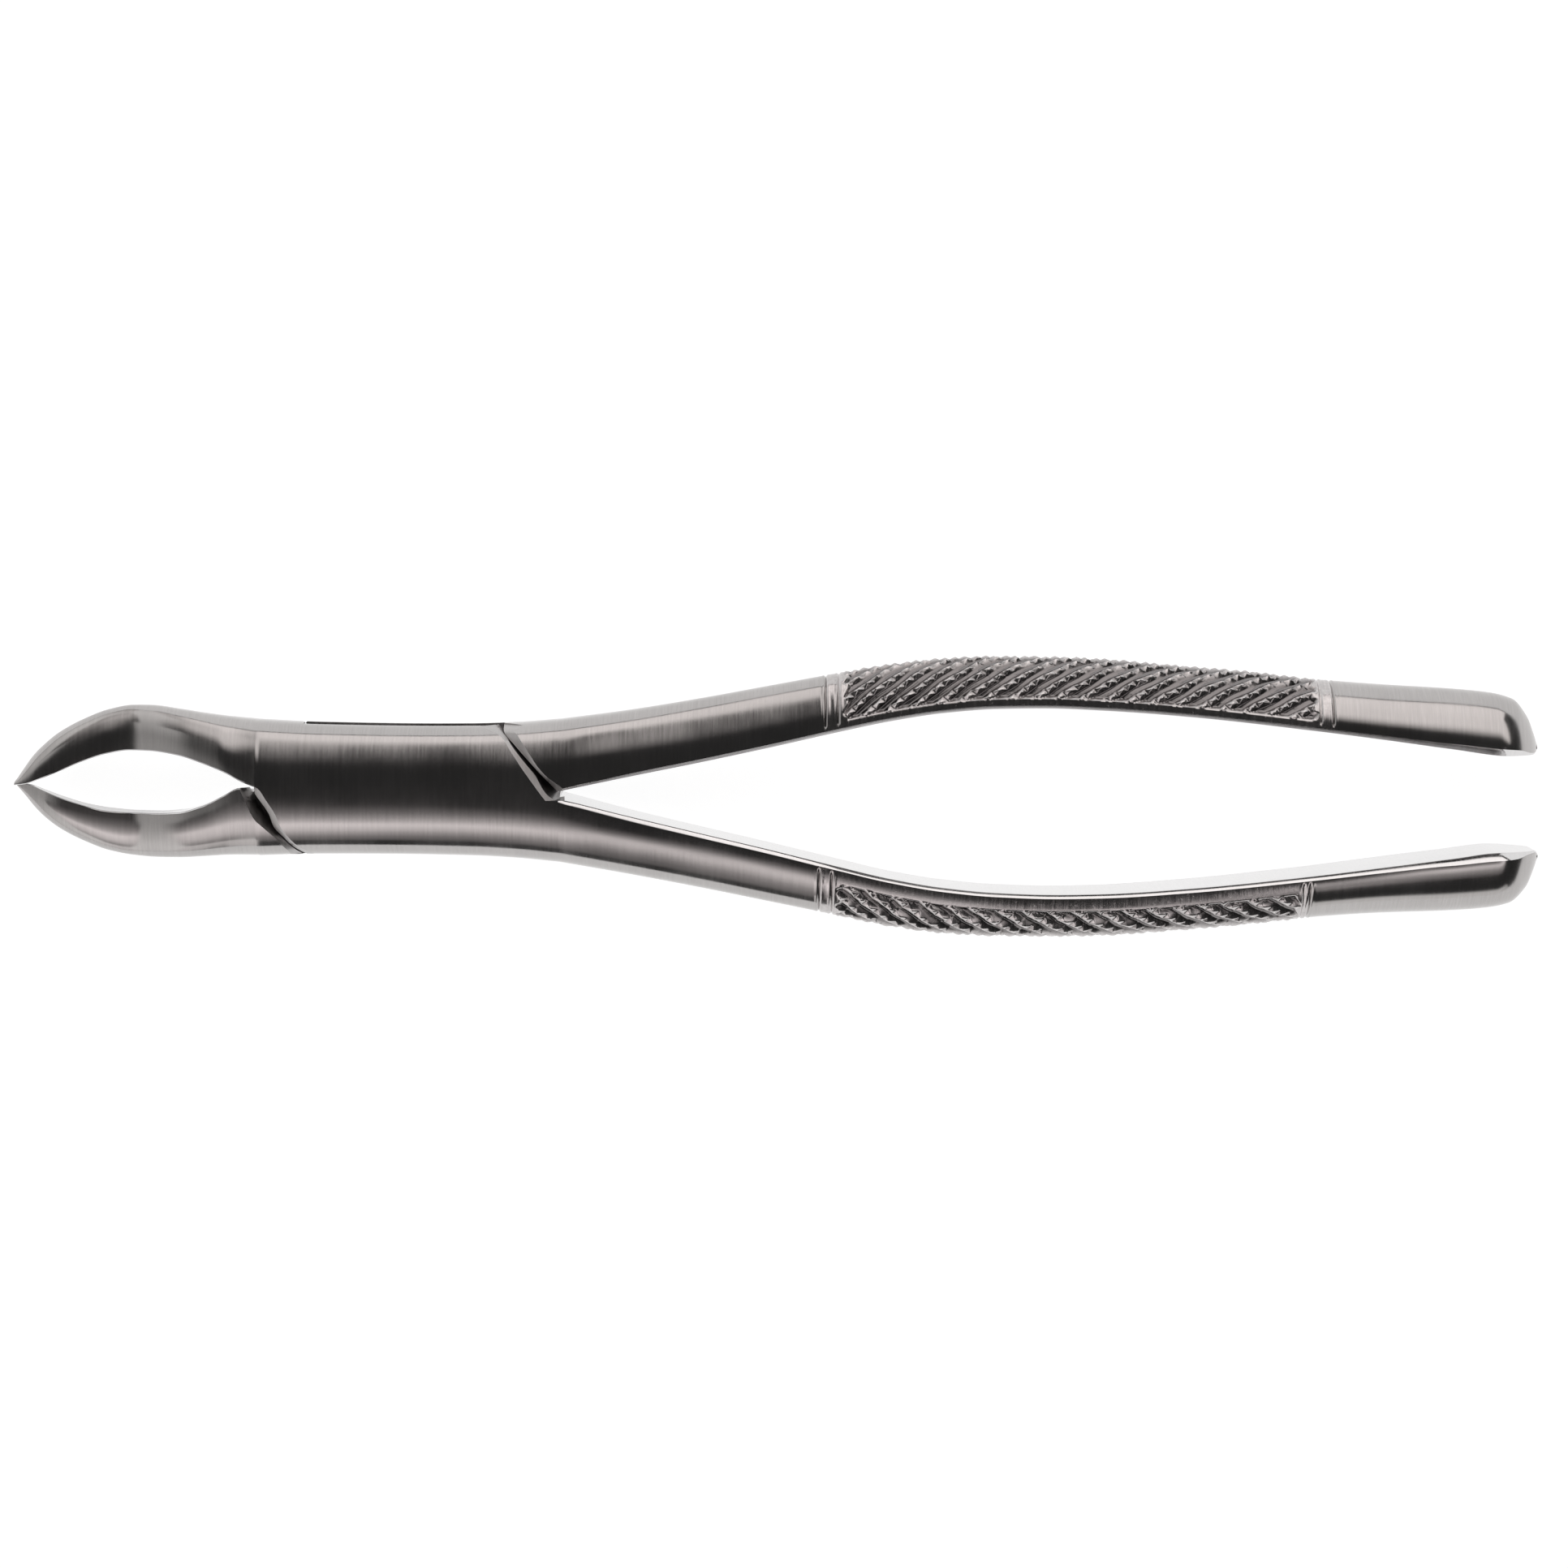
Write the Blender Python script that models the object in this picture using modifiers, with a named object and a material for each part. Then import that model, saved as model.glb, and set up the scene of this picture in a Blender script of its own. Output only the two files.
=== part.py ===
"""Extraction forceps of the American pattern, for upper molars.

Two forged halves cross in a lap joint and turn on one blind pivot pin.
Frame: origin on the pivot axis at the underside, +X towards the handle ends,
+Y towards the beak of the front half, +Z up through the pin.
Lengths below are millimetres. Sections are drawn about the lap plane, and
every point is raised by HALF_HEIGHT, so the forceps lie on z = 0.
"""

import math

import bmesh
import bpy
import numpy as np
from mathutils import Matrix

MM = 0.001

# Driving dimensions
HALF_HEIGHT = 5.4          # lap plane above the underside, and half the height of the handle ends
JOINT_HALF = 5.3           # half the thickness of the closed joint: the pin's face stands 0.1 proud
LAP_GAP = 0.1              # clearance between the two laminae
TIP_X = -45.0              # beak tips
NECK_X = -16.6             # crease where the neck meets the joint's barrel
ROOT_X = 18.0              # where the handle leaves the joint
END_X = 130.4              # handle ends
END_ROUND = 4.5            # length over which a handle end domes down
EDGE = 0.45                # chamfer along the inner edges
PIN_RADIUS = 2.75
PIN_HEAD_RADIUS = 3.6
PIN_HEAD_HEIGHT = 1.2
PIN_TOP = 3.6              # how far the pin reaches past the lap plane into the front lamina
PIN_CHAMFER = 0.15
RUNNING_GAP = 0.05         # radial clearance round the pin
PIN_SIDES = 64
RING_GROOVES = (48.2, 50.0, 104.6, 106.2)   # turned grooves before and after the grip
GROOVE_DEPTH = 0.3
GROOVE_HALF = 0.4
QUARTER = 8                # points in a quarter of a section
CUT_BEAK_X = -20.0         # how far the joint's cuts run towards the beaks
CUT_HANDLE_X = 20.5        # and towards the handles

# Half the width of the joint
JOINT_SIDE = ((-16.6, 7.85), (-10, 7.6), (0, 7.52), (8, 7.6), (13, 7.82), (18, 8.25))
# Half the height of the joint and the handles
HALF_RISE = ((-16.6, 5.3), (10, 5.3), (18, 5.2), (26, 4.75), (34, 4.4), (44, 4.2), (56, 4.25), (70, 4.5),
             (90, 4.85), (105, 5.15), (116, 5.4), (125, 5.4), (128.7, 5.15), (130.4, 5.0))
# Crown line of the front face: on the middle plane in the joint, moving over to the handle
CROWN = ((-16.6, 0.0), (4, 0.0), (11, 0.2), (18, 0.9))
# Depth of the hollow in a beak's inner face
HOLLOW = ((-45, 0.05), (-41.5, 0.35), (-36, 0.7), (-30, 0.6), (-25, 0.15), (-22, 0.0), (-16.6, 0.0))

# Outlines of each half. Beak: outer and inner side, top and underside above the lap plane.
# Handle: distance of its rounded outer side and its flat inner face from the middle plane.
FRONT_LINES = {
    "beak_outer": ((-45, 0.4), (-44, 1.95), (-43, 3.3), (-41.8, 4.5), (-40, 5.95), (-37.2, 7.5), (-34.3, 8.65),
                   (-31.5, 9.2), (-29.2, 9.25), (-25.8, 8.9), (-22.9, 8.5), (-20, 8.15), (-16.6, 7.9)),
    "beak_inner": ((-45, -0.05), (-43.7, 0.15), (-42.1, 0.8), (-40, 1.68), (-37.2, 2.92), (-34.3, 3.8),
                   (-31.5, 4.15), (-29.2, 4.1), (-25.8, 3.45), (-22.9, 2.75), (-20, 1.75), (-18.2, 0.85),
                   (-16.6, 0.5)),
    "beak_top": ((-45, -0.2), (-42.3, 0.3), (-38.2, 0.6), (-31.6, 0.65), (-30.1, 0.85), (-28.3, 1.35),
                 (-25.5, 2.55), (-22.5, 3.85), (-19.5, 4.75), (-16.6, 5.15)),
    "beak_under": ((-45, -4.6), (-42.3, -5.1), (-38.2, -5.3), (-31, -5.25), (-28, -5.0), (-24, -4.7),
                   (-20, -4.9), (-16.6, -5.1)),
    "handle_outer": ((18, 8.25), (26, 9.6), (34, 11.05), (42, 12.6), (50, 14.15), (56, 15.3), (62, 16.05),
                     (68, 16.3), (74, 16.3), (80, 16.15), (90, 15.35), (97, 14.65), (103, 13.95), (106, 13.65),
                     (112, 13.2), (120, 12.85), (124.5, 12.5), (127.2, 11.85), (129, 10.1), (129.9, 8.1),
                     (130.4, 6.4)),
    "handle_inner": ((18, 0.65), (26, 2.65), (34, 4.45), (42, 6.2), (50, 8.05), (56, 9.4), (62, 10.35),
                     (68, 10.85), (74, 11.0), (80, 10.85), (90, 10.1), (104, 8.5), (112, 7.4), (120, 6.3),
                     (126, 5.6), (130.4, 5.5)),
}
REAR_LINES = {
    "beak_outer": ((-45, 0.45), (-44, 1.6), (-43, 2.8), (-41.8, 3.9), (-40, 5.3), (-37.2, 6.85), (-34.3, 7.95),
                   (-31.5, 8.45), (-29.2, 8.6), (-25.8, 8.5), (-22.9, 8.25), (-20, 8.0), (-16.6, 7.75)),
    "beak_inner": ((-45, 0.12), (-43.7, 0.35), (-42.1, 1.05), (-40, 1.9), (-37.2, 2.75), (-34.3, 3.2),
                   (-31.5, 3.4), (-29.2, 3.42), (-25.8, 3.15), (-22.9, 2.25), (-20, 1.0), (-18.2, 0.5),
                   (-16.6, 0.42)),
    "beak_top": ((-45, -1.9), (-43.7, -1.2), (-41.3, -0.2), (-38.2, 0.4), (-35, 0.6), (-31.6, 0.65),
                 (-30.1, 0.85), (-28.3, 1.35), (-25.5, 2.55), (-22.5, 3.85), (-19.5, 4.75), (-16.6, 5.15)),
    "beak_under": ((-45, -2.9), (-43.7, -3.6), (-41.3, -4.6), (-38.2, -5.15), (-35, -5.3), (-31, -5.25),
                   (-28, -5.0), (-24, -4.7), (-20, -4.9), (-16.6, -5.1)),
    "handle_outer": ((18, 8.25), (26, 9.4), (34, 10.8), (42, 12.35), (50, 13.9), (56, 14.95), (62, 15.65),
                     (68, 15.95), (74, 15.95), (80, 15.75), (90, 15.0), (97, 14.5), (103, 13.85), (108, 13.5),
                     (112, 13.25), (120, 12.85), (124.5, 12.45), (127.2, 11.75), (129, 9.6), (129.9, 7.3),
                     (130.4, 6.0)),
    "handle_inner": ((18, 0.35), (26, 2.05), (34, 3.72), (42, 5.5), (50, 7.4), (56, 8.72), (62, 9.7),
                     (68, 10.22), (74, 10.35), (80, 10.17), (90, 9.55), (104, 8.15), (112, 7.22), (120, 6.2),
                     (126, 5.55), (130.4, 5.45)),
}

# Edges of a front lamina and of the shoulders it closes against, as (inner end, outer end) at the
# outer face of the joint and at the lap plane
BEAK_EDGE_FACE = ((-16.8, 0.62), (-10.3, -7.3))
BEAK_EDGE_LAP = ((-17.5, 0.68), (-11.6, -7.5))
HANDLE_EDGE_FACE = ((17.95, -0.55), (9.6, 7.3))
HANDLE_EDGE_LAP = ((18.35, -0.5), (10.9, 7.5))
BEAK_SHOULDER_FACE = ((-18.35, 0.06), (-12.5, 7.2))
BEAK_SHOULDER_LAP = ((-18.1, 0.06), (-11.95, 7.5))
HANDLE_SHOULDER_FACE = ((18.9, 0.12), (12.1, -7.0))
HANDLE_SHOULDER_LAP = ((18.75, 0.12), (11.5, -7.4))

# Cleft between the two prongs of the front beak, in the plane of its width
PRONG_MIDDLE = -2.4
CLEFT_DEPTH = 3.4
CLEFT_HALF = 1.25


def smooth_curve(points):
    """A curve through the points that never swings past them: cubic pieces with limited slopes."""
    xs, ys = np.array(points, float).T
    rise = np.diff(ys) / np.diff(xs)
    slopes = np.zeros(len(xs))
    slopes[0] = rise[0]
    slopes[-1] = rise[-1]
    same_way = rise[:-1] * rise[1:] > 0
    product = 2 * rise[:-1] * rise[1:]
    total = np.where(same_way, rise[:-1] + rise[1:], 1)
    slopes[1:-1] = np.where(same_way, product / total, 0)

    def value(x):
        i = int(np.clip(np.searchsorted(xs, x) - 1, 0, len(xs) - 2))
        step = xs[i + 1] - xs[i]
        t = (min(max(x, xs[0]), xs[-1]) - xs[i]) / step
        start = (1 + 2 * t) * (1 - t) ** 2 * ys[i] + t * (1 - t) ** 2 * step * slopes[i]
        end = t * t * (3 - 2 * t) * ys[i + 1] + t * t * (t - 1) * step * slopes[i + 1]
        return float(start + end)

    return value


joint_side = smooth_curve(JOINT_SIDE)
half_rise = smooth_curve(HALF_RISE)
crown = smooth_curve(CROWN)
hollow = smooth_curve(HOLLOW)


def round_quarter(crown_y, side_y, height, fullness):
    """Points from the crown down a rounded side to its widest place, as (y, height)."""
    points = []
    for i in range(QUARTER + 1):
        turn = math.pi / 2 * i / QUARTER
        across = math.sin(turn) ** (2 / fullness)
        up = max(math.cos(turn), 0.0) ** (2 / fullness)
        points.append((crown_y + (side_y - crown_y) * across, height * up))
    return points


def wall_quarter(crown_y, wall_y, height, dish):
    """Points from the crown over a chamfer and down an inner wall, dished by this much at its middle."""
    edge = abs(crown_y - wall_y)
    top = height - edge
    inward = math.copysign(1, crown_y - wall_y)
    points = [(crown_y, height)]
    for i in range(1, QUARTER + 1):
        down = (i - 1) / (QUARTER - 1)
        points.append((wall_y + inward * dish * (1 - (1 - down) ** 2), top * (1 - down)))
    return points


def ring(minus_top, plus_top, minus_under, plus_under, middle_z):
    """One closed section, from the widest point of the -Y side over the top to the +Y side and back below."""
    top = minus_top[::-1] + plus_top[1:]
    under = plus_under[:-1][::-1] + minus_under[1:-1]
    points = [(y, middle_z + up) for y, up in top]
    points += [(y, middle_z - up) for y, up in under]
    return points


def beak_section(x, lines):
    """Neck and beak of the half: rounded outside (+Y), hollow inside."""
    wall_y = lines["beak_inner"](x)
    side_y = lines["beak_outer"](x)
    top = lines["beak_top"](x)
    under = lines["beak_under"](x)
    edge = min(EDGE, 0.25 * (side_y - wall_y), 0.2 * (top - under))
    middle_z = (top + under) / 2
    height = (top - under) / 2
    fullness = 2.3
    plus = round_quarter(wall_y + edge, side_y, height, fullness)
    minus = wall_quarter(wall_y + edge, wall_y, height, hollow(x))
    return ring(minus, plus, minus, plus, middle_z)


def joint_section(x):
    """Full barrel of the joint."""
    fullness = 2.5
    height = half_rise(x)
    plus = round_quarter(-crown(x), joint_side(x), height, fullness)
    minus = round_quarter(-crown(x), -joint_side(x), height, fullness)
    return ring(minus, plus, minus, plus, 0.0)


def groove_depth(x):
    """Depth of a ring groove at this station."""
    nearest = min(abs(x - groove) for groove in RING_GROOVES)
    return GROOVE_DEPTH * max(0.0, 1 - nearest / GROOVE_HALF)


def handle_section(x, lines):
    """Handle on the -Y side: flat inner face, rounded outside, domed end."""
    wall_y = -lines["handle_inner"](x)
    side_y = -lines["handle_outer"](x) + groove_depth(x)
    fullness = 2.5 - 0.4 * min(1.0, (x - ROOT_X) / 20)
    dome = max(0.0, (x - (END_X - END_ROUND)) / END_ROUND)
    height = (half_rise(x) - groove_depth(x)) * math.sqrt(max(1 - dome ** 2, 0.03))
    minus = round_quarter(wall_y - EDGE, side_y, height, fullness)
    plus = wall_quarter(wall_y - EDGE, wall_y, height, 0.0)
    return ring(minus, plus, minus, plus, 0.0)


def stations(start, end, count):
    return [start + (end - start) * i / count for i in range(count + 1)]


def loft(sections):
    """A closed mesh through the sections, given as (x, ring), with both ends capped."""
    shape = bmesh.new()
    rings = []
    for x, points in sections:
        rings.append([shape.verts.new((x * MM, y * MM, z * MM)) for y, z in points])
    for first, second in zip(rings, rings[1:]):
        for i in range(len(first)):
            j = (i + 1) % len(first)
            shape.faces.new((first[i], first[j], second[j], second[i]))
    shape.faces.new(rings[0])
    shape.faces.new(rings[-1][::-1])
    bmesh.ops.recalc_face_normals(shape, faces=shape.faces)
    return shape


def blank(outlines):
    """One half before it is cut: beak, neck, full joint barrel and handle in a single loft."""
    lines = {name: smooth_curve(points) for name, points in outlines.items()}
    tip = [TIP_X, TIP_X + 0.5] + stations(TIP_X + 1, -40, 3) + stations(-38.5, -32, 4)
    neck = stations(-31, -26, 4) + stations(-25, NECK_X, 6)
    sections = [(x, beak_section(x, lines)) for x in tip + neck]
    barrel = [NECK_X + 0.1, -12, -4, 4, 8, 11, 14.5, ROOT_X - 0.1]
    sections += [(x, joint_section(x)) for x in barrel]
    shank = stations(ROOT_X, 47.2, 9)
    first_pair = RING_GROOVES[:2]
    second_pair = RING_GROOVES[2:]
    grip = stations(51.2, 103.6, 14)
    end = stations(107.4, END_X - END_ROUND, 6)
    dome = [END_X - END_ROUND * (1 - math.sin(math.radians(turn))) for turn in (12, 24, 36, 47, 57, 66, 75, 83)]
    along = shank + grip + end + dome
    for groove in first_pair + second_pair:
        along += [groove - GROOVE_HALF, groove, groove + GROOVE_HALF]
    sections += [(x, handle_section(x, lines)) for x in sorted(along)]
    return loft(sections)


def between(face_edge, lap_edge, height):
    """Ends of a slanted wall's edge at this height above the lap plane, its outer end carried past the outline."""
    share = height / JOINT_HALF
    inner, outer = (np.array(lap) + (np.array(face) - np.array(lap)) * share
                    for face, lap in zip(face_edge, lap_edge))
    return tuple(inner), tuple(outer + (outer - inner) * 0.35)


def slanted_block(outline_at, low, high):
    """A block whose plan outline changes evenly from its low to its high face."""
    shape = bmesh.new()
    levels = []
    for z in (low, high):
        levels.append([shape.verts.new((x * MM, y * MM, z * MM)) for x, y in outline_at(z)])
    under, top = levels
    for i in range(len(under)):
        j = (i + 1) % len(under)
        shape.faces.new((under[i], under[j], top[j], top[i]))
    shape.faces.new(under[::-1])
    shape.faces.new(top)
    bmesh.ops.recalc_face_normals(shape, faces=shape.faces)
    return shape


def beak_side_relief(z):
    """Room for the other half's neck, outside the lamina's beak-side edge."""
    inner, outer = between(BEAK_EDGE_FACE, BEAK_EDGE_LAP, z)
    return [(CUT_BEAK_X, 0.2), (-18.6, 0.2), inner, outer, (CUT_BEAK_X, outer[1])]


def handle_side_relief(z):
    """Room for the other half's handle, outside the lamina's handle-side edge."""
    inner, outer = between(HANDLE_EDGE_FACE, HANDLE_EDGE_LAP, z)
    return [inner, (CUT_HANDLE_X, -0.35), (CUT_HANDLE_X, outer[1]), outer]


def lap_recess(z):
    """Room for the other half's lamina, between the two shoulders."""
    beak_inner, beak_outer = between(BEAK_SHOULDER_FACE, BEAK_SHOULDER_LAP, -z)
    handle_inner, handle_outer = between(HANDLE_SHOULDER_FACE, HANDLE_SHOULDER_LAP, -z)
    low_y = handle_outer[1]
    high_y = beak_outer[1]
    return [(CUT_BEAK_X, low_y), (CUT_BEAK_X, 0.06), beak_inner, beak_outer, (CUT_HANDLE_X, high_y),
            (CUT_HANDLE_X, 1.8), handle_inner, handle_outer]


def turn_over(shape):
    """Turns a shape half a turn about the long axis, to make the rear half from the front one's drawing."""
    for vert in shape.verts:
        vert.co.y = -vert.co.y
        vert.co.z = -vert.co.z
    return shape


def upside_down(outlines):
    """The same half with its beak's top and underside exchanged, ready to be turned over."""
    swapped = dict(outlines)
    swapped["beak_top"] = tuple((x, -z) for x, z in outlines["beak_under"])
    swapped["beak_under"] = tuple((x, -z) for x, z in outlines["beak_top"])
    return swapped


def steel(name, grey, roughness):
    material = bpy.data.materials.new(name)
    material.use_nodes = True
    shader = material.node_tree.nodes["Principled BSDF"]
    shader.inputs["Base Color"].default_value = (grey, grey * 0.985, grey * 0.97, 1)
    shader.inputs["Metallic"].default_value = 1.0
    shader.inputs["Roughness"].default_value = roughness
    return material


def add_object(name, shape, collection, material=None):
    """Makes an object of the shape, raised so that the forceps lie on z = 0."""
    bmesh.ops.translate(shape, verts=shape.verts, vec=(0, 0, HALF_HEIGHT * MM))
    mesh = bpy.data.meshes.new(name)
    shape.to_mesh(mesh)
    shape.free()
    obj = bpy.data.objects.new(name, mesh)
    collection.objects.link(obj)
    if material:
        mesh.materials.append(material)
        mesh.shade_smooth()
        mesh.set_sharp_from_angle(angle=math.radians(32))
    else:
        obj.hide_render = True
        obj.display_type = "WIRE"
    return obj


def cylinder(radius, low, high):
    shape = bmesh.new()
    bmesh.ops.create_cone(shape, cap_ends=True, segments=PIN_SIDES, radius1=radius * MM, radius2=radius * MM,
                          depth=(high - low) * MM)
    turn = Matrix.Rotation(math.pi / PIN_SIDES / 2, 3, "Z")
    bmesh.ops.rotate(shape, verts=shape.verts, cent=(0, 0, 0), matrix=turn)
    bmesh.ops.translate(shape, verts=shape.verts, vec=(0, 0, (high + low) / 2 * MM))
    return shape


def cleft():
    """Wedge that parts the front beak's tip into two prongs."""
    shape = bmesh.new()
    root_x = TIP_X + CLEFT_DEPTH
    outline = [(TIP_X - 1, -CLEFT_HALF * 1.3), (root_x - 0.9, -0.5), (root_x - 0.2, -0.3), (root_x, 0.0),
               (root_x - 0.2, 0.3), (root_x - 0.9, 0.5), (TIP_X - 1, CLEFT_HALF * 1.3)]
    sides = []
    for y in (-1.0, 7.0):
        sides.append([shape.verts.new((x * MM, y * MM, (PRONG_MIDDLE + z) * MM)) for x, z in outline])
    near, far = sides
    for i in range(len(near)):
        j = (i + 1) % len(near)
        shape.faces.new((near[i], near[j], far[j], far[i]))
    shape.faces.new(near[::-1])
    shape.faces.new(far)
    bmesh.ops.recalc_face_normals(shape, faces=shape.faces)
    return shape


def cut(target, cutter):
    modifier = target.modifiers.new(cutter.name, "BOOLEAN")
    modifier.operation = "DIFFERENCE"
    modifier.solver = "EXACT"
    modifier.object = cutter


def half_cutters(prefix, collection, turned):
    """The two edge reliefs and the lap recess of one half."""
    shapes = {
        "beak_relief": slanted_block(beak_side_relief, -0.4, HALF_HEIGHT + 1),
        "handle_relief": slanted_block(handle_side_relief, -0.4, HALF_HEIGHT + 1),
        "lap_recess": slanted_block(lap_recess, -HALF_HEIGHT - 1, LAP_GAP / 2),
    }
    cutters = []
    for name, shape in shapes.items():
        if turned:
            turn_over(shape)
        cutters.append(add_object(f"{prefix}_{name}", shape, collection))
    return cutters


def front_half(parts, cutters, material):
    """Front lamina, upper beak and lower handle. The pivot pin is fixed in a blind hole under it."""
    half = add_object("front_half", blank(FRONT_LINES), parts, material)
    hole = cylinder(PIN_RADIUS + RUNNING_GAP, -1, PIN_TOP + RUNNING_GAP)
    cut(half, add_object("front_pin_hole", hole, cutters))
    cut(half, add_object("front_cleft", cleft(), cutters))
    for cutter in half_cutters("front", cutters, turned=False):
        cut(half, cutter)
    return half


def rear_half(parts, cutters, material):
    """Rear lamina, lower beak and upper handle. It turns on the pin."""
    half = add_object("rear_half", turn_over(blank(upside_down(REAR_LINES))), parts, material)
    seat_top = -HALF_HEIGHT + PIN_HEAD_HEIGHT + RUNNING_GAP
    seat = cylinder(PIN_HEAD_RADIUS + RUNNING_GAP, -HALF_HEIGHT - 1, seat_top)
    cut(half, add_object("rear_pin_seat", seat, cutters))
    hole = cylinder(PIN_RADIUS + RUNNING_GAP, -HALF_HEIGHT - 2, 1)
    cut(half, add_object("rear_pin_hole", hole, cutters))
    for cutter in half_cutters("rear", cutters, turned=True):
        cut(half, cutter)
    return half


def pivot_pin(parts, material):
    """Headed pin turned about the pivot axis. Its flat head is the face that the forceps lie on."""
    head_top = -HALF_HEIGHT + PIN_HEAD_HEIGHT
    profile = [(0, PIN_TOP), (PIN_RADIUS - PIN_CHAMFER, PIN_TOP), (PIN_RADIUS, PIN_TOP - PIN_CHAMFER),
               (PIN_RADIUS, head_top), (PIN_HEAD_RADIUS, head_top),
               (PIN_HEAD_RADIUS, -HALF_HEIGHT + PIN_CHAMFER), (PIN_HEAD_RADIUS - PIN_CHAMFER, -HALF_HEIGHT),
               (0, -HALF_HEIGHT)]
    shape = bmesh.new()
    points = [shape.verts.new((r * MM, 0, z * MM)) for r, z in profile]
    for first, second in zip(points, points[1:]):
        shape.edges.new((first, second))
    pin = add_object("pivot_pin", shape, parts, material)
    screw = pin.modifiers.new("turned", "SCREW")
    screw.axis = "Z"
    screw.steps = PIN_SIDES
    screw.render_steps = PIN_SIDES
    screw.use_merge_vertices = True
    screw.merge_threshold = 0.00001
    screw.use_smooth_shade = True
    return pin


def main():
    for obj in list(bpy.data.objects):
        bpy.data.objects.remove(obj, do_unlink=True)
    parts = bpy.data.collections.new("extraction_forceps")
    cutters = bpy.data.collections.new("cutters")
    bpy.context.scene.collection.children.link(parts)
    bpy.context.scene.collection.children.link(cutters)
    satin = steel("satin_steel", 0.56, 0.36)
    polished = steel("polished_steel", 0.62, 0.18)
    front_half(parts, cutters, satin)
    rear_half(parts, cutters, satin)
    pivot_pin(parts, polished)


main()
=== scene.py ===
"""Extraction forceps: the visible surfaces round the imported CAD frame.

Each half is drawn again from its driving outlines at a fine pitch: a beak, joint and shank
piece with the lap joint cut into it, a grip with real knurling, and a domed handle end.
The pieces meet at the bottom of the ring grooves. Outlines are millimetres in the drawing's
own frame, whose lap plane is z = 0.
"""

import math

import bpy
import numpy as np
from mathutils import Matrix, Vector

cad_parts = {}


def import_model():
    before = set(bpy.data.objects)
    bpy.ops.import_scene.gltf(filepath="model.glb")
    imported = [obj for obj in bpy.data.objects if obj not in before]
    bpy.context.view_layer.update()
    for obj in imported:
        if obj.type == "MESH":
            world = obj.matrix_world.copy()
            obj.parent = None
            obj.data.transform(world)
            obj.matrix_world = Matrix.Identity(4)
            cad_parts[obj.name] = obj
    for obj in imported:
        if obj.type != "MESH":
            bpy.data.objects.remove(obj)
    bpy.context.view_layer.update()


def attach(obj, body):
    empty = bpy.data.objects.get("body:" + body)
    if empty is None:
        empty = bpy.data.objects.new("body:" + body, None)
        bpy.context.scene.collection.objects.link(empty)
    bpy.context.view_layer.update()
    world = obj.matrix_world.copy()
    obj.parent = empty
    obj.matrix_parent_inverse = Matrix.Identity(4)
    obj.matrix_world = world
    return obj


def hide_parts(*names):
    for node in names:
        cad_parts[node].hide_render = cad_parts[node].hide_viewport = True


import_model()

MM = 0.001
LAP_Z = 5.4                # lap plane above the floor
JOINT_HALF = 5.3           # the joint's surface above the lap plane
LAP_GAP = 0.1              # left between the two laminae
TIP_X = -45.0
NECK_X = -16.6             # where the neck ends and the joint's barrel starts
NECK_BLEND = 4.0           # length over which the neck takes on the joint's section
ROOT_X = 18.0              # where the barrel ends and the shank starts
END_X = {"front": 130.6, "rear": 130.15}
END_ROUND = 5.0            # length of the dome on a handle's end
END_FULL = 1.7             # exponent of its curve: 2 is an ellipse
END_LEAST = 0.05           # height kept at its end, as a power of the full one
DOME_TURN = 80             # degrees of the dome that are drawn before its flat cap
# Turned grooves round each handle, two on either side of the grip
RINGS = {"front": (47.85, 49.3, 103.25, 103.95), "rear": (48.35, 49.85, 104.65, 106.1)}
GROOVE_DEPTH = 0.17
GROOVE_HALF = 0.22
GROOVE_LIP = 0.04          # height of the lips beside a groove
LIP_OFFSET = 0.05
LIP_HALF = 0.25
RING_FADE = 0.5            # the rings run out over this length towards the inner wall
RING_PLAIN = 0.3           # share of it that stays plain
PIN_RADIUS = 2.75
PIN_HEAD_RADIUS = 3.6
PIN_HEAD_HEIGHT = 1.2
PIN_TOP = 3.6              # above the lap plane
PIN_CHAMFER = 0.3
PIN_FILLET = 0.02          # under the head
PIN_SIDES = 96
RUNNING_GAP = 0.05         # round the pin
# Exponents of the rounded sections: 2 is an ellipse, more is squarer
BEAK_FULL = 2.3
JOINT_FULL = 2.5
HANDLE_FULL = ((18, 2.5), (38, 2.1), (96, 2.05), (108, 1.95), (130.4, 1.85))
# How far the rear beak's inner wall leans over towards the front beak at its face
BEAK_LEAN = ((-45, 0.1), (-42, 0.5), (-38.1, 0.6), (-34.4, 0.32), (-28, 0.42), (-22.2, 0.33),
             (-20.3, 0.5), (-18.5, 0.9), (-17.4, 0.9), (-16.6, 0.6))
# How far the front handle's inner wall leans over the gap between the handles at its face
HANDLE_LEAN = ((18, 0.1), (20.5, 0.22), (26, 0.22), (34, 0.15), (42, 0.06), (50, 0.0))
# How far above the middle a beak is widest, as a share of its height
BEAK_WIDEST = ((-45, 0.0), (-40, 0.1), (-30, 0.13), (-16.6, 0.0))
ROUNDING = 0.07            # half length of a softened edge
ROUNDING_MOST = 0.3        # and at most this share of its chamfer
ROUNDING_EASE = 0.2        # share of it by which the neighbouring corners move
BEAK_EDGE_ACROSS = 0.25    # an inner edge's chamfer takes at most this share of the beak's width,
BEAK_EDGE_UP = 0.2         # this share of its height
HANDLE_EDGE_ACROSS = 0.3   # and this share of the handle's width

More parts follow.
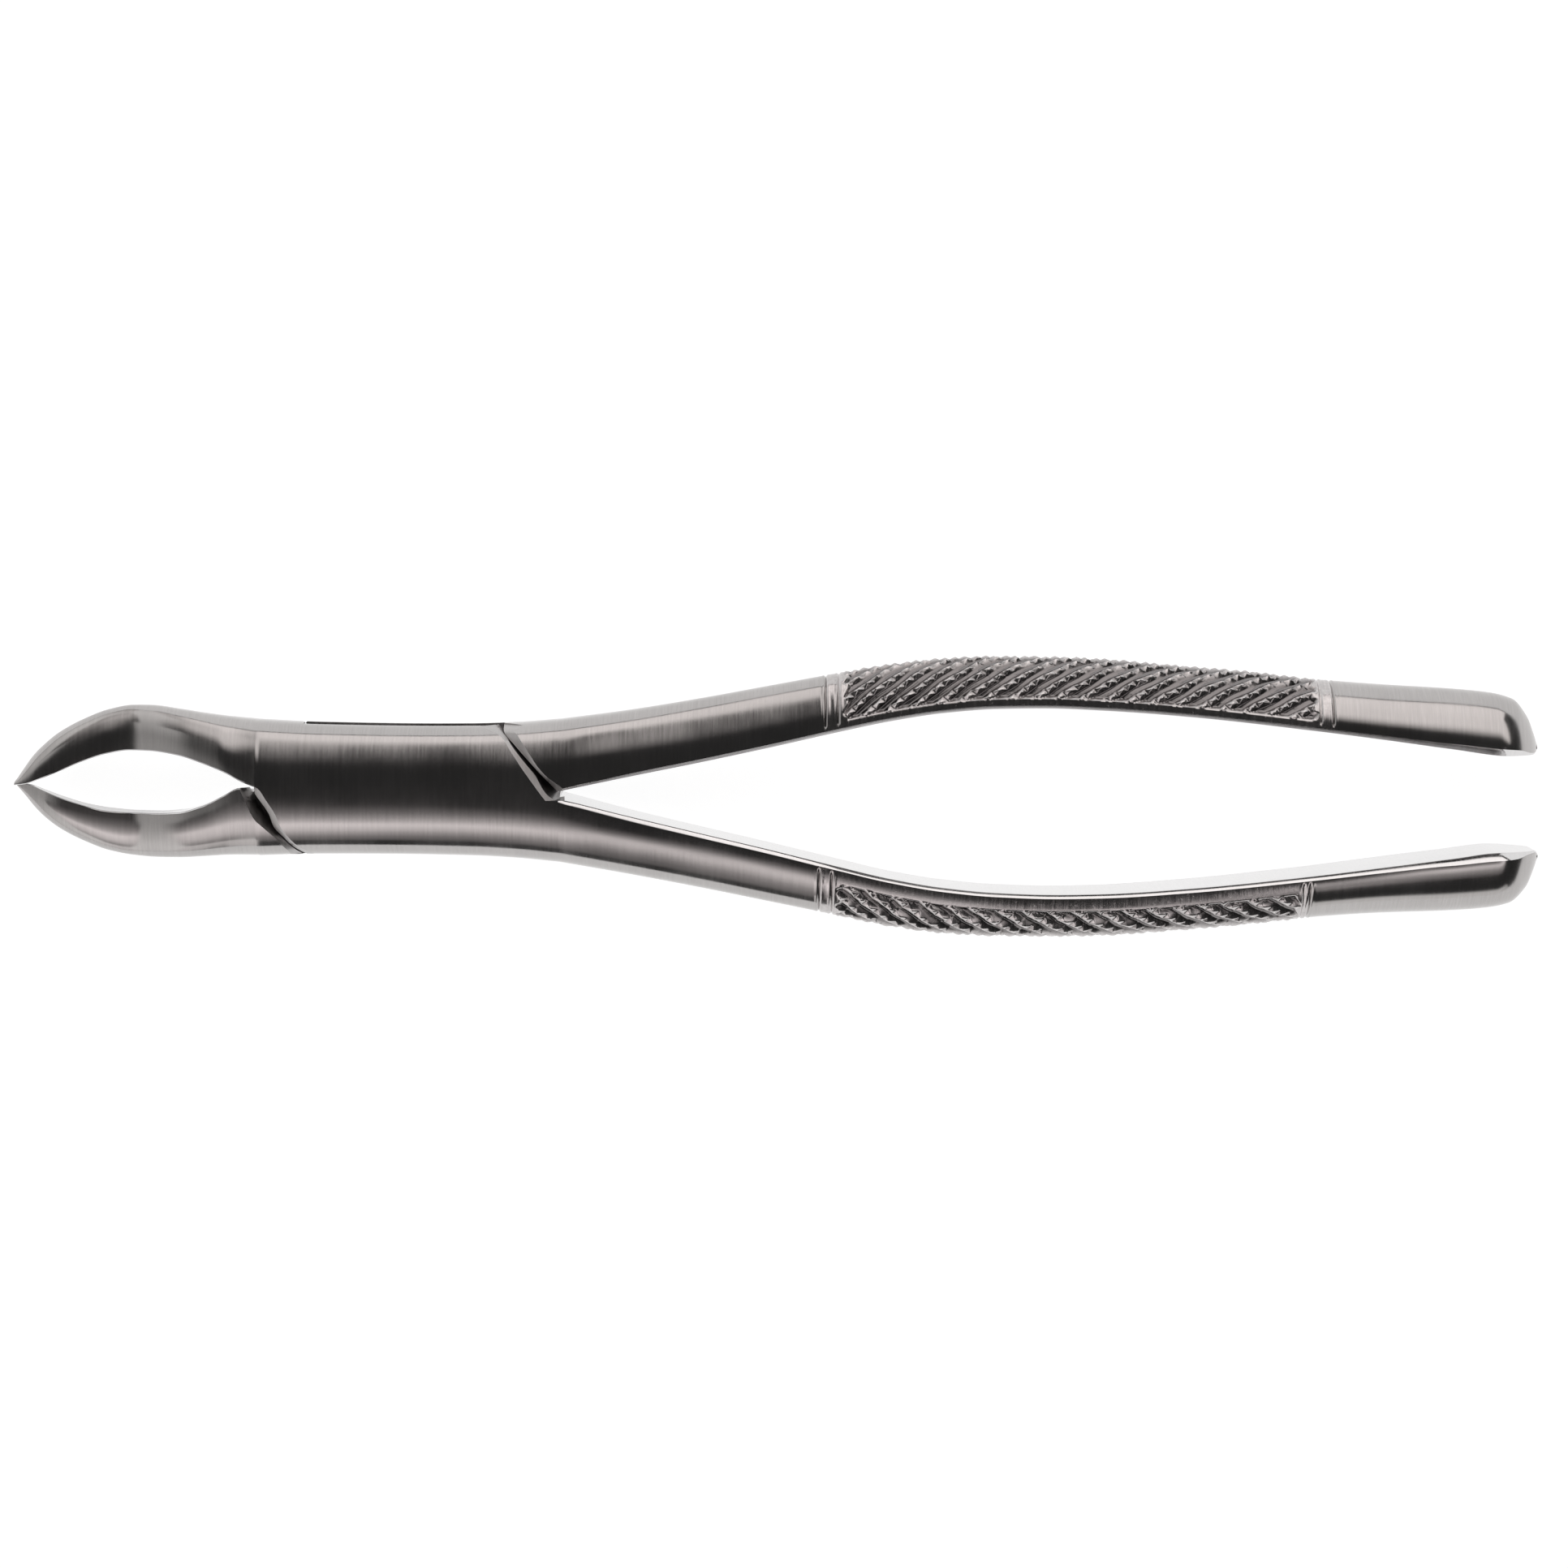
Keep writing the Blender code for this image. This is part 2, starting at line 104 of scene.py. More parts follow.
# Along the forceps: half width of the joint, half thickness of joint and handles, how far the crown
# has moved over to the handle, depth of the hollow in the beaks, chamfer of the inner edges
JOINT_SIDE = ((-16.6, 7.85), (-10, 7.6), (0, 7.52), (8, 7.6), (13, 7.82), (18, 8.25))
HALF_RISE = ((-16.6, 5.3), (10, 5.3), (18, 5.2), (26, 4.75), (34, 4.4), (44, 4.2), (56, 4.25),
             (70, 4.5), (90, 4.85), (105, 5.15), (116, 5.4), (125, 5.4), (128.7, 5.15),
             (130.6, 5.0))
CROWN = ((-16.6, 0.0), (4, 0.0), (11, 0.2), (18, 0.9))
HOLLOW = ((-45, 0.05), (-41.5, 0.35), (-36, 0.7), (-30, 0.6), (-25, 0.15), (-22, 0.0), (-16.6, 0.0))
INNER_EDGE = ((-45, 0.08), (-40, 0.12), (-30, 0.14), (-17, 0.2), (18, 0.3), (30, 0.42), (100, 0.45),
              (117, 0.6), (125, 0.85), (127.5, 0.7), (129, 0.3), (130.4, 0.15))

# Height of both beaks' tops where they rise to the joint
NECK_TOP = ((-32.5, 0.63), (-31.5, 0.73), (-30.5, 0.96), (-29.6, 1.3), (-28.6, 1.71), (-27.3, 2.24),
            (-25.3, 2.96), (-22.5, 3.78), (-19.5, 4.6), (-16.6, 5.27))

# Outlines of each half, seen on the face: distances from the long axis. Those of the beak's top and
# underside are heights from the lap plane.
FRONT_LINES = {
    "beak_outer": ((-45, 0.4), (-44, 1.95), (-43, 3.3), (-41.8, 4.5), (-40, 5.95), (-37.2, 7.5),
                   (-34.3, 8.65), (-31.5, 9.2), (-29.2, 9.25), (-25.8, 8.9), (-22.9, 8.5),
                   (-20, 8.15), (-16.6, 7.85)),
    "beak_inner": ((-45, -0.15), (-43.7, 0.02), (-42.1, 0.58), (-40, 1.42), (-37.2, 2.66),
                   (-34.3, 3.65), (-31.5, 4.12), (-29.2, 4.15), (-25.8, 3.8), (-22.9, 3.0),
                   (-20, 1.95), (-18.2, 1.05), (-16.6, 0.5)),
    "beak_top": ((-45, -0.2), (-42.3, 0.3), (-38.2, 0.58), (-33.4, 0.6)) + NECK_TOP,
    "beak_under": ((-45, -4.6), (-42.3, -5.1), (-38.2, -5.3), (-31, -5.25), (-28, -5.0),
                   (-24, -4.8), (-20, -5.05), (-16.6, -5.27)),
    "handle_outer": ((18, 8.25), (26, 9.6), (34, 11.05), (42, 12.6), (50, 14.15), (56, 15.3),
                     (62, 16.05), (68, 16.3), (74, 16.3), (80, 16.15), (90, 15.35), (97, 14.65),
                     (103, 13.95), (106, 13.65), (112, 13.2), (120, 12.85), (124.5, 12.5),
                     (127.4, 11.9), (129.25, 10.15), (130.1, 8.2), (130.5, 6.9), (130.6, 6.5)),
    "handle_inner": ((18, 0.65), (26, 2.65), (34, 4.45), (42, 6.2), (50, 8.05), (56, 9.4),
                     (62, 10.35), (68, 10.85), (74, 11.0), (80, 10.85), (90, 10.1), (104, 8.5),
                     (112, 7.4), (120, 6.3), (126, 5.55), (129.8, 5.55), (130.3, 5.75),
                     (130.6, 6.3)),
}
REAR_LINES = {
    "beak_outer": ((-45, 0.45), (-44, 1.6), (-43, 2.8), (-41.8, 3.95), (-40, 5.25), (-37.2, 6.65),
                   (-34.3, 7.7), (-31.5, 8.2), (-29.2, 8.33), (-25.8, 8.25), (-22.9, 8.05),
                   (-20, 7.85), (-16.6, 7.8)),
    "beak_inner": ((-45, 0.12), (-43.7, 0.35), (-42.1, 1.05), (-40, 1.9), (-37.2, 2.75),
                   (-34.3, 3.2), (-31.5, 3.4), (-29.2, 3.42), (-25.8, 3.15), (-22.9, 2.25),
                   (-20, 1.0), (-18.2, 0.5), (-16.6, 0.42)),
    "beak_top": ((-45, -1.9), (-43.7, -1.2), (-41.3, -0.2), (-38.2, 0.4), (-35, 0.56)) + NECK_TOP,
    "beak_under": ((-45, -2.9), (-43.7, -3.6), (-41.3, -4.6), (-38.2, -5.15), (-35, -5.3),
                   (-31, -5.25), (-28, -5.0), (-24, -4.7), (-20, -4.9), (-16.6, -5.1)),
    "handle_outer": ((18, 8.25), (26, 9.4), (34, 10.8), (42, 12.35), (50, 13.9), (56, 14.95),
                     (62, 15.65), (68, 15.95), (74, 15.95), (80, 15.75), (90, 15.0), (97, 14.5),
                     (103, 13.85), (108, 13.5), (112, 13.25), (120, 12.85), (124.5, 12.45),
                     (127.2, 11.75), (128.85, 9.85), (129.65, 8.0), (130.05, 6.8), (130.15, 6.3)),
    "handle_inner": ((18, 0.35), (26, 2.05), (34, 3.72), (42, 5.5), (50, 7.4), (56, 8.72),
                     (62, 9.7), (68, 10.22), (74, 10.35), (80, 10.17), (90, 9.55), (104, 8.15),
                     (112, 7.22), (120, 6.2), (126, 5.5), (129.4, 5.47), (129.9, 5.65),
                     (130.15, 6.1)),
}

# Joint edges seen from each half's own side, as (y, x). A lamina's edge is bevelled down to its
# foot, and the shoulder it lies against slopes from its edge in the surface to its foot at the lap.
LAMINA_BEAK_EDGE = ((-9, -9.4), (-7.2, -11.0), (-6.4, -12.0), (-5.46, -12.8), (-4.06, -13.7),
                    (-2.66, -14.2), (-0.79, -15.35), (0.2, -16.0), (0.5, -16.4), (0.75, -16.9))
LAMINA_BEAK_FOOT = ((-9, -9.9), (-7.2, -11.6), (-6.4, -12.5), (-5.46, -13.3), (-4.06, -14.5),
                    (-2.66, -14.95), (-0.79, -16.2), (0.2, -16.95), (0.75, -17.6))
LAMINA_HANDLE_EDGE = ((-0.7, 16.45), (0.14, 15.8), (1.36, 14.9), (3.2, 13.6), (4.95, 12.5),
                      (6.3, 11.7), (6.7, 11.2), (7.1, 10.35), (7.5, 9.4), (9, 7.5))
LAMINA_HANDLE_FOOT = ((-0.7, 17.6), (-0.2, 16.9), (0.35, 16.4), (1.35, 15.8), (2.08, 15.4),
                      (3.37, 14.3), (5.46, 12.6), (6.46, 11.85), (7.1, 11.0), (7.5, 10.2), (9, 8.3))
LAMINA_HANDLE_LAP = ((-0.7, 18.5), (-0.5, 18.35), (0, 17.9), (1.35, 16.6), (3.37, 14.75),
                     (5.46, 12.85), (7.5, 10.9), (9, 9.5))
SHOULDER_BEAK_EDGE = ((-0.9, -19.0), (0.2, -18.4), (1.45, -17.75), (3.1, -16.7), (4.06, -15.7),
                      (5.46, -14.2), (6.4, -13.4), (7.3, -12.5), (9, -11.0))
SHOULDER_BEAK_FOOT = ((-0.9, -18.3), (0.2, -17.6), (1.45, -16.75), (3.1, -15.7), (4.06, -14.9),
                      (5.46, -13.6), (6.4, -12.8), (7.3, -11.95), (9, -10.4))
SHOULDER_HANDLE_EDGE = ((-9, 12.0), (-7.2, 12.1), (-6.5, 12.9), (-5.46, 13.8), (-4.1, 14.9),
                        (-3.3, 15.5), (-2.1, 16.7), (-0.5, 18.9), (0.1, 19.3))
SHOULDER_HANDLE_FOOT = ((-9, 11.5), (-7.2, 11.55), (-6.77, 11.7), (-5.46, 12.95), (-4.1, 14.25),
                        (-2.6, 15.7), (-1.3, 16.95), (0.1, 18.3))
CUT_BEAK_X = -20.0         # the cutters end here
CUT_HANDLE_X = 20.5
RECESS_HALF = 9.0          # half width of the recess between the shoulders
LAMINA_SLOPE = 0.6         # drop of a lamina's bevel for each millimetre across
BEAK_SHOULDER_SLOPE = 1.1  # and of the bevelled shoulders
HANDLE_SHOULDER_SLOPE = 0.7
LEAST_WALL = 0.8           # a cutter's wall stays this high where the surface comes down to the lap
CUTTER_STEP = 0.2          # between the sections of a cutter
CUTTER_REACH = 2.0         # how far a cutter reaches past the surface
BEVEL_OVERRUN = 1.2        # and a bevel on its own
LAP_OVERRUN = 0.4          # and a lamina's cutter past the lap plane
NO_SHOULDER = 0.1          # width of the bevel where a shoulder has ended
END_STEP = 0.01            # length of the step that it ends in
LAMINA_INSET = 0.17        # a lamina's beak-side flank lies this far inside the other half's
INSET_FROM = -11.4         # between these two stations
INSET_TO = 13.0
PRONG_MIDDLE = -2.4        # height of the cleft between the front beak's prongs, from the lap plane
CLEFT_DEPTH = 3.4
CLEFT_HALF = 1.25
CLEFT_FLARE = 1.3          # widening of its cutter a millimetre beyond the tip
CLEFT_SPAN = (-1.0, 7.0)   # y that its cutter reaches across

# Knurling of each grip: which way it slants, the depth, pitch along the handle and angle of the
# rows and of the shallower cross cuts, the width of the smooth strip beside the inner edge, where
# it starts and ends, how uneven the teeth are, and the share of a row that is flat valley
KNURL = {
    "front": {"hand": 1, "deep": 0.5, "row_pitch": 2.9, "row_angle": 36,
              "cross": 0.27, "cross_pitch": 2.0, "cross_angle": 42,
              "strip": 1.5, "from": 50.0, "to": 102.7, "uneven": 0.3, "valley": 0.12, "seed": 11},
    "rear": {"hand": -1, "deep": 0.58, "row_pitch": 2.7, "row_angle": 34,
             "cross": 0.38, "cross_pitch": 2.0, "cross_angle": 40,
             "strip": 0.7, "from": 50.6, "to": 104.1, "uneven": 0.12, "valley": 0.3, "seed": 5},
}
KNURL_CREST = 0.12         # how far the crests stand out of the handle
KNURL_FLAT = 0.05          # how much is taken off them
KNURL_RUN_OUT = 0.9        # slope of the relief towards its borders
BORDER_WAVE = 0.25         # how far the two ends of the knurling wander
DEEP_UNEVEN = 0.25         # share of the unevenness that the rows take
# How far the rows waver, in pitches, and the radians a millimetre along and across the handle
WAVER = ((0.035, 1.7, 0.9), (0.03, 0.63, -1.4))
TEETH = 64                 # the random teeth repeat after this many
COUNT_FROM = 400           # keeps the counts of rows and cross cuts positive

# Points on each side of a ring of a beak, the joint and a shank, on the round side of a grip and of
# a handle's end, and on the inner wall of these two
SIDE_POINTS = 52
GRIP_POINTS = 132
END_POINTS = 72
WALL_POINTS = 26


def smooth_curve(points):
    """A curve through the points that never swings past them: cubic pieces with limited slopes."""
    xs, ys = np.array(points, float).T
    rise = np.diff(ys) / np.diff(xs)
    slopes = np.zeros(len(xs))
    slopes[0] = rise[0]
    slopes[-1] = rise[-1]
    same_way = rise[:-1] * rise[1:] > 0
    product = 2 * rise[:-1] * rise[1:]
    total = np.where(same_way, rise[:-1] + rise[1:], 1)
    slopes[1:-1] = np.where(same_way, product / total, 0)

    def value(x):
        x = min(max(x, xs[0]), xs[-1])
        i = int(np.clip(np.searchsorted(xs, x) - 1, 0, len(xs) - 2))
        step = xs[i + 1] - xs[i]
        t = (x - xs[i]) / step
        start = (1 + 2 * t) * (1 - t) ** 2 * ys[i] + t * (1 - t) ** 2 * step * slopes[i]
        end = t * t * (3 - 2 * t) * ys[i + 1] + t * t * (t - 1) * step * slopes[i + 1]
        return float(start + end)

    return value


joint_side = smooth_curve(JOINT_SIDE)
half_rise = smooth_curve(HALF_RISE)
crown = smooth_curve(CROWN)
hollow = smooth_curve(HOLLOW)
inner_edge = smooth_curve(INNER_EDGE)
handle_full = smooth_curve(HANDLE_FULL)


def resampled(points, count):
    """The line through the points, cut into this many equal lengths, and its running length."""
    steps = np.hypot(*np.diff(points, axis=0).T)
    run = np.concatenate([[0], np.cumsum(steps)])
    at = np.linspace(0, run[-1], count + 1)
    return np.stack([np.interp(at, run, line) for line in points.T], axis=1), at


TURN_POINTS = 200          # on each half of a rounded side, before it is cut into equal lengths


def round_side(crown_y, side_y, top, under, fullness, count, start_y=None, widest=0.5):
    """Outline from the top crown over a rounded side to the crown underneath, as (y, z) rows.
    A start_y leaves out what lies on the far side of it. It is widest at this share of its
    height."""
    turn = np.linspace(0, math.pi, 2 * TURN_POINTS)
    across = np.sin(turn).clip(0) ** (2 / fullness)
    up = np.sign(np.cos(turn)) * np.abs(np.cos(turn)) ** (2 / fullness)
    middle = under + (top - under) * widest
    reach = np.where(up > 0, top - middle, middle - under)
    points = np.stack([crown_y + (side_y - crown_y) * across, middle + reach * up], axis=1)
    if start_y is not None:
        kept = points[points[:, 0] > start_y]
        ends = []
        for step in (1, -1):
            ys, zs = points[::step][:TURN_POINTS].T
            ends.append((start_y, np.interp(start_y, ys, zs)))
        points = np.concatenate([ends[:1], kept, ends[1:]])
    return resampled(points, count)


def flat_side(crown_y, wall_y, top, under, dish, count):
    """Outline from the top crown over a softened chamfer, down an inner wall and back to the crown
    below. The wall is hollowed by the dish."""
    edge = abs(crown_y - wall_y)
    inward = math.copysign(1, crown_y - wall_y)
    middle = (top + under) / 2
    half = (top - under) / 2
    soft = min(ROUNDING, edge * ROUNDING_MOST)
    along = soft * math.sqrt(0.5)
    corner = [(crown_y, top - soft * ROUNDING_EASE),
              (crown_y - inward * along, top - along),
              (wall_y + inward * along, top - edge + along),
              (wall_y + inward * soft * ROUNDING_EASE, top - edge),
              (wall_y, top - edge - soft)]
    rest = count + 1 - 2 * len(corner)
    share = np.linspace(1, -1, rest + 2)[1:-1]
    reach = half - edge - soft
    wall = [(wall_y + inward * dish * (1 - t * t), middle + reach * t) for t in share]
    below = [(y, 2 * middle - z) for y, z in corner[::-1]]
    return np.array(corner + wall + below)


def closed_ring(minus, plus):
    """Both sides joined into one ring of points, from the top crown over the -Y side."""
    return np.concatenate([minus, plus[::-1][1:-1]])


def normals_of(points):
    """Outward unit normals of an open outline that runs from the top over the side to the
    underside."""
    ahead = np.gradient(points, axis=0)
    side = np.stack([ahead[:, 1], -ahead[:, 0]], axis=1)
    if (side[len(side) // 2] * (points[len(points) // 2] - points.mean(axis=0))).sum() < 0:
        side = -side
    return side / np.linalg.norm(side, axis=1, keepdims=True)


def beak_ring(x, lines, count):
    """Neck and beak, on the +Y side: rounded outside, hollow inside."""
    wall_y = lines["beak_inner"](x)
    side_y = lines["beak_outer"](x)
    top = lines["beak_top"](x)
    under = lines["beak_under"](x)
    edge = min(inner_edge(x), BEAK_EDGE_ACROSS * (side_y - wall_y), BEAK_EDGE_UP * (top - under))
    near_joint = min(max((x - NECK_X) / NECK_BLEND + 1, 0.0), 1.0)
    crown_y = (wall_y + edge) * (1 - near_joint)
    fullness = BEAK_FULL + (JOINT_FULL - BEAK_FULL) * near_joint
    widest = 0.5 + lines["beak_widest"](x) * (1 - near_joint)
    plus, _ = round_side(crown_y, side_y, top, under, fullness, count,
                         start_y=wall_y + edge, widest=widest)
    minus = flat_side(wall_y + edge, wall_y, plus[0][1], plus[-1][1], hollow(x), count)
    minus[0] = plus[0]
    minus[-1] = plus[-1]
    lean = lines["beak_lean"](x)
    minus[:, 0] -= lean * (minus[0, 1] - minus[:, 1]) / (minus[0, 1] - minus[-1, 1])
    return closed_ring(minus, plus)


def joint_ring(x, lines, count):
    """Full barrel of the joint."""
    height = half_rise(x)
    crown_y = -crown(x) / crown(ROOT_X) * (lines["handle_inner"](ROOT_X) + inner_edge(ROOT_X))
    side = joint_side(x)
    sides = [round_side(crown_y, y, height, -height, JOINT_FULL, count)[0] for y in (-side, side)]
    if INSET_FROM < x < INSET_TO:
        sides[1][:, 0] = np.minimum(sides[1][:, 0], side - LAMINA_INSET)
    return closed_ring(*sides)


def ring_groove(x, rings):
    """How far the turned rings' lips and grooves make the surface stand out at this station."""
    nearest = min(abs(x - groove) for groove in rings)
    cut = GROOVE_DEPTH * max(0.0, 1 - nearest / GROOVE_HALF)
    lip = GROOVE_LIP * max(0.0, 1 - abs(nearest - GROOVE_HALF - LIP_OFFSET) / LIP_HALF)
    return lip - cut


def handle_ring(x, lines, rings, count, wall_count, relief=None):
    """Handle on the -Y side. relief(x, run, length) gives how far each point of the round side
    stands out."""
    wall_y = -lines["handle_inner"](x)
    side_y = -lines["handle_outer"](x)
    dome = max(0.0, (x - (lines["end_x"] - END_ROUND)) / END_ROUND)
    height = half_rise(x) * max(1 - dome ** END_FULL, END_LEAST) ** (1 / END_FULL)
    edge = min(inner_edge(x), HANDLE_EDGE_ACROSS * (wall_y - side_y))
    minus, run = round_side(wall_y - edge, side_y, height, -height, handle_full(x), count)
    length = run[-1]
    fade = np.clip(np.minimum(run, length - run) / RING_FADE - RING_PLAIN, 0, 1)
    out = ring_groove(x, rings) * fade
    if relief is not None:
        out = out + relief(x, run, length)
    minus = minus + normals_of(minus) * out[:, None]
    plus = flat_side(wall_y - edge, wall_y, height, -height, 0.0, wall_count)
    plus[:, 0] += lines["handle_lean"](x) * (plus[:, 1] + height) / (2 * height)
    plus[0] = minus[0]
    plus[-1] = minus[-1]
    return closed_ring(minus, plus)


def knurl_relief(style):
    """Diagonal rows crossed by shallower cuts, each tooth a little different, running out at the
    borders."""
    hand = style["hand"]
    rows = style["row_pitch"] * math.tan(math.radians(style["row_angle"]))
    row_slope = hand * math.tan(math.radians(style["row_angle"]))
    crosses = style["cross_pitch"] * math.tan(math.radians(style["cross_angle"]))
    cross_slope = hand * math.tan(math.radians(style["cross_angle"]))
    draw = np.random.default_rng(style["seed"])
    table = draw.uniform(-1, 1, (TEETH, TEETH, 3))

    def relief(x, run, length):
        from_middle = run - length / 2
        waver = sum(size * np.sin(along * x + across * from_middle)
                    for size, along, across in WAVER)
        row = (from_middle - row_slope * x) / rows + waver + COUNT_FROM
        cross = (from_middle + cross_slope * x) / crosses - waver + COUNT_FROM
        tooth = table[np.floor(row).astype(int) % TEETH, np.floor(cross).astype(int) % TEETH]
        row_part = row % 1
        cross_part = cross % 1
        row_up = ((1 - np.abs(2 * row_part - 1) - style["valley"]) / (1 - style["valley"])).clip(0)
        cross_up = 1 - np.abs(2 * cross_part - 1)
        uneven = style["uneven"]
        deep = style["deep"] * (1 + DEEP_UNEVEN * uneven * tooth[:, 0])
        notch = style["cross"] * (1 + uneven * tooth[:, 1])
        low = np.minimum(deep * (row_up - 1), notch * (cross_up - 1))
        low = np.minimum(low, -KNURL_FLAT * (1 + uneven * tooth[:, 2])) + KNURL_FLAT
        border = np.minimum(run, length - run) - style["strip"]
        from_end = min(x - style["from"], style["to"] - x)
        border = np.minimum(border, from_end + BORDER_WAVE * np.sin(2 * math.pi * row))
        room = np.clip(border, 0, None) * KNURL_RUN_OUT
        return np.clip(low + KNURL_CREST, -room, room)

    return relief


def stations(start, end, step):
    """Evenly spaced from start to end, about a step apart."""
    count = max(1, round((end - start) / step))
    return list(np.linspace(start, end, count + 1))


def through(name, outlines):
    """A closed mesh through equally long outlines of (x, y, z), with a flat cap on the first and
    the last."""
    count = len(outlines[0])
    last = count * (len(outlines) - 1)
    faces = []
    for a in range(0, last, count):
        for i in range(count):
            j = (i + 1) % count
            faces.append((a + i, a + j, a + count + j, a + count + i))
    faces += [tuple(range(count))[::-1], tuple(range(last, last + count))]
    points = [(x * MM, y * MM, (z + LAP_Z) * MM) for outline in outlines for x, y, z in outline]
    mesh = bpy.data.meshes.new(name)
    mesh.from_pydata(points, [], faces)
    return mesh


def loft(name, xs, rings, wall_faces):
    """A closed mesh through the rings of (y, z). wall_faces(x) gives the run of faces with the
    second material."""
    count = len(rings[0])
    mesh = through(name, [[(x, y, z) for y, z in ring.tolist()] for x, ring in zip(xs, rings)])
    slots = np.zeros(len(mesh.polygons), np.int32)
    for i in range(len(rings) - 1):
        start, end = wall_faces((xs[i] + xs[i + 1]) / 2)
        slots[i * count + start:i * count + end] = 1
    mesh.polygons.foreach_set("material_index", slots)
    return mesh


def facing_out(mesh):
    """Turns every face outwards, whichever way the rings ran."""
    points = np.empty(len(mesh.vertices) * 3)
    mesh.vertices.foreach_get("co", points)
    points = points.reshape(-1, 3)
    mesh.calc_loop_triangles()
    corners = np.empty(len(mesh.loop_triangles) * 3, np.int32)
    mesh.loop_triangles.foreach_get("vertices", corners)
    a, b, c = points[corners.reshape(-1, 3)].transpose(1, 0, 2)
    volume = np.einsum("ij,ij->i", a, np.cross(b, c)).sum()
    if volume < 0:
        mesh.flip_normals()


def turned_over(mesh):
    """Half a turn about the long axis, which makes the rear half from the front one's drawing."""
    mesh.transform(Matrix(((1, 0, 0, 0), (0, -1, 0, 0), (0, 0, -1, 2 * LAP_Z * MM), (0, 0, 0, 1))))
    return mesh


def add_piece(mesh, materials, smooth_angle=40):
    """Puts a mesh in the scene as a piece, smooth but for edges sharper than this many degrees."""
    obj = bpy.data.objects.new(mesh.name, mesh)
    bpy.context.scene.collection.objects.link(obj)
    facing_out(mesh)
    for material in materials:
        mesh.materials.append(material)
    mesh.shade_smooth()
    mesh.set_sharp_from_angle(angle=math.radians(smooth_angle))
    return obj


def prism(name, levels):
    """A closed mesh through flat outlines of equal length, given as (z above the lap plane,
    [(x, y), ...])."""
    return through(name, [[(x, y, z) for x, y in outline] for z, outline in levels])


def surface_height(y):
    """Height of the joint's barrel above the lap plane, this far from the long axis."""
    return JOINT_HALF * max(0.0, 1 - abs(y / joint_side(0)) ** JOINT_FULL) ** (1 / JOINT_FULL)


def side_sections(name, sections):
    """A closed mesh through upright outlines of equal length, given as (y, [(x, z), ...])."""
    return through(name, [[(x, y, z) for x, z in outline] for y, outline in sections])


def lamina_relief(name, edge_points, foot_points, lap_points, far_x):
    """Clears the face side of a half beyond the edge of its lamina, leaving the edge bevelled."""
    edge, foot, lap = (smooth_curve(points) for points in (edge_points, foot_points, lap_points))
    over = LAP_Z + CUTTER_REACH
    sections = []
    for y in stations(edge_points[0][0], edge_points[-1][0], CUTTER_STEP):
        outer, inner, top = edge(y), foot(y), max(surface_height(y), LEAST_WALL)
        away = math.copysign(1, far_x - outer)
        drop = min(abs(inner - outer) * LAMINA_SLOPE, top - LEAST_WALL / 2)
        above = outer - away * BEVEL_OVERRUN / LAMINA_SLOPE
        sections.append((y, [(far_x, -LAP_OVERRUN), (far_x, over), (above, over),
                             (above, top + BEVEL_OVERRUN), (inner, top - drop), (lap(y), 0.0),
                             (lap(y), -LAP_OVERRUN)]))
    return side_sections(name, sections)


def lap_recess(name):
    """Clears the other side of a half between its two bevelled shoulders."""
    beak_edge, beak_foot = smooth_curve(SHOULDER_BEAK_EDGE), smooth_curve(SHOULDER_BEAK_FOOT)
    handle_edge = smooth_curve(SHOULDER_HANDLE_EDGE)
    handle_foot = smooth_curve(SHOULDER_HANDLE_FOOT)
    beak_from = SHOULDER_BEAK_EDGE[0][0]
    handle_to = SHOULDER_HANDLE_EDGE[-1][0]

    def wall(edge_x, foot_x, top, slope):
        """From the lap up the upright wall and the bevel to well outside the surface."""
        width = edge_x - foot_x
        drop = min(abs(width) * slope, top - LEAST_WALL / 2)
        outside_x = edge_x + math.copysign(BEVEL_OVERRUN, width) / slope
        return [(foot_x, LAP_GAP / 2), (foot_x, drop - top), (outside_x, -top - BEVEL_OVERRUN),
                (outside_x, -LAP_Z - CUTTER_REACH)]

    # Two stations close together make each shoulder end in a step
    ends = [beak_from - END_STEP, beak_from, handle_to, handle_to + END_STEP]
    sections = []
    for y in sorted(stations(-RECESS_HALF, RECESS_HALF, CUTTER_STEP) + ends):
        top = max(surface_height(y), LEAST_WALL)
        left = CUT_BEAK_X - NO_SHOULDER, CUT_BEAK_X
        if y >= beak_from:
            left = beak_edge(y), beak_foot(y)
        right = CUT_HANDLE_X + NO_SHOULDER, CUT_HANDLE_X
        if y <= handle_to:
            right = handle_edge(y), handle_foot(y)
        left = wall(*left, top, BEAK_SHOULDER_SLOPE)
        right = wall(*right, top, HANDLE_SHOULDER_SLOPE)
        sections.append((y, left + right[::-1]))
    return side_sections(name, sections)


def disc_outline(radius):
    turn = (np.arange(PIN_SIDES) + 0.5) * 2 * math.pi / PIN_SIDES
    return list(zip(radius * np.cos(turn), radius * np.sin(turn)))


def cleft_prism(name):
    """The cleft that parts the front beak's two prongs."""
    root_x = TIP_X + CLEFT_DEPTH
    flank = [(TIP_X - 1, CLEFT_HALF * CLEFT_FLARE), (root_x - 0.9, 0.5), (root_x - 0.2, 0.3)]
    outline = [(x, -z) for x, z in flank] + [(root_x, 0.0)] + flank[::-1]
    mesh = prism(name, [(y, outline) for y in CLEFT_SPAN])
    # the prism is drawn lying down, and stood up across the beak
    mesh.transform(Matrix(((1, 0, 0, 0), (0, 0, 1, -LAP_Z * MM),
                           (0, 1, 0, (LAP_Z + PRONG_MIDDLE) * MM), (0, 0, 0, 1))))
    return mesh


MILLED = 2                 # material slot of the faces that a cutter leaves


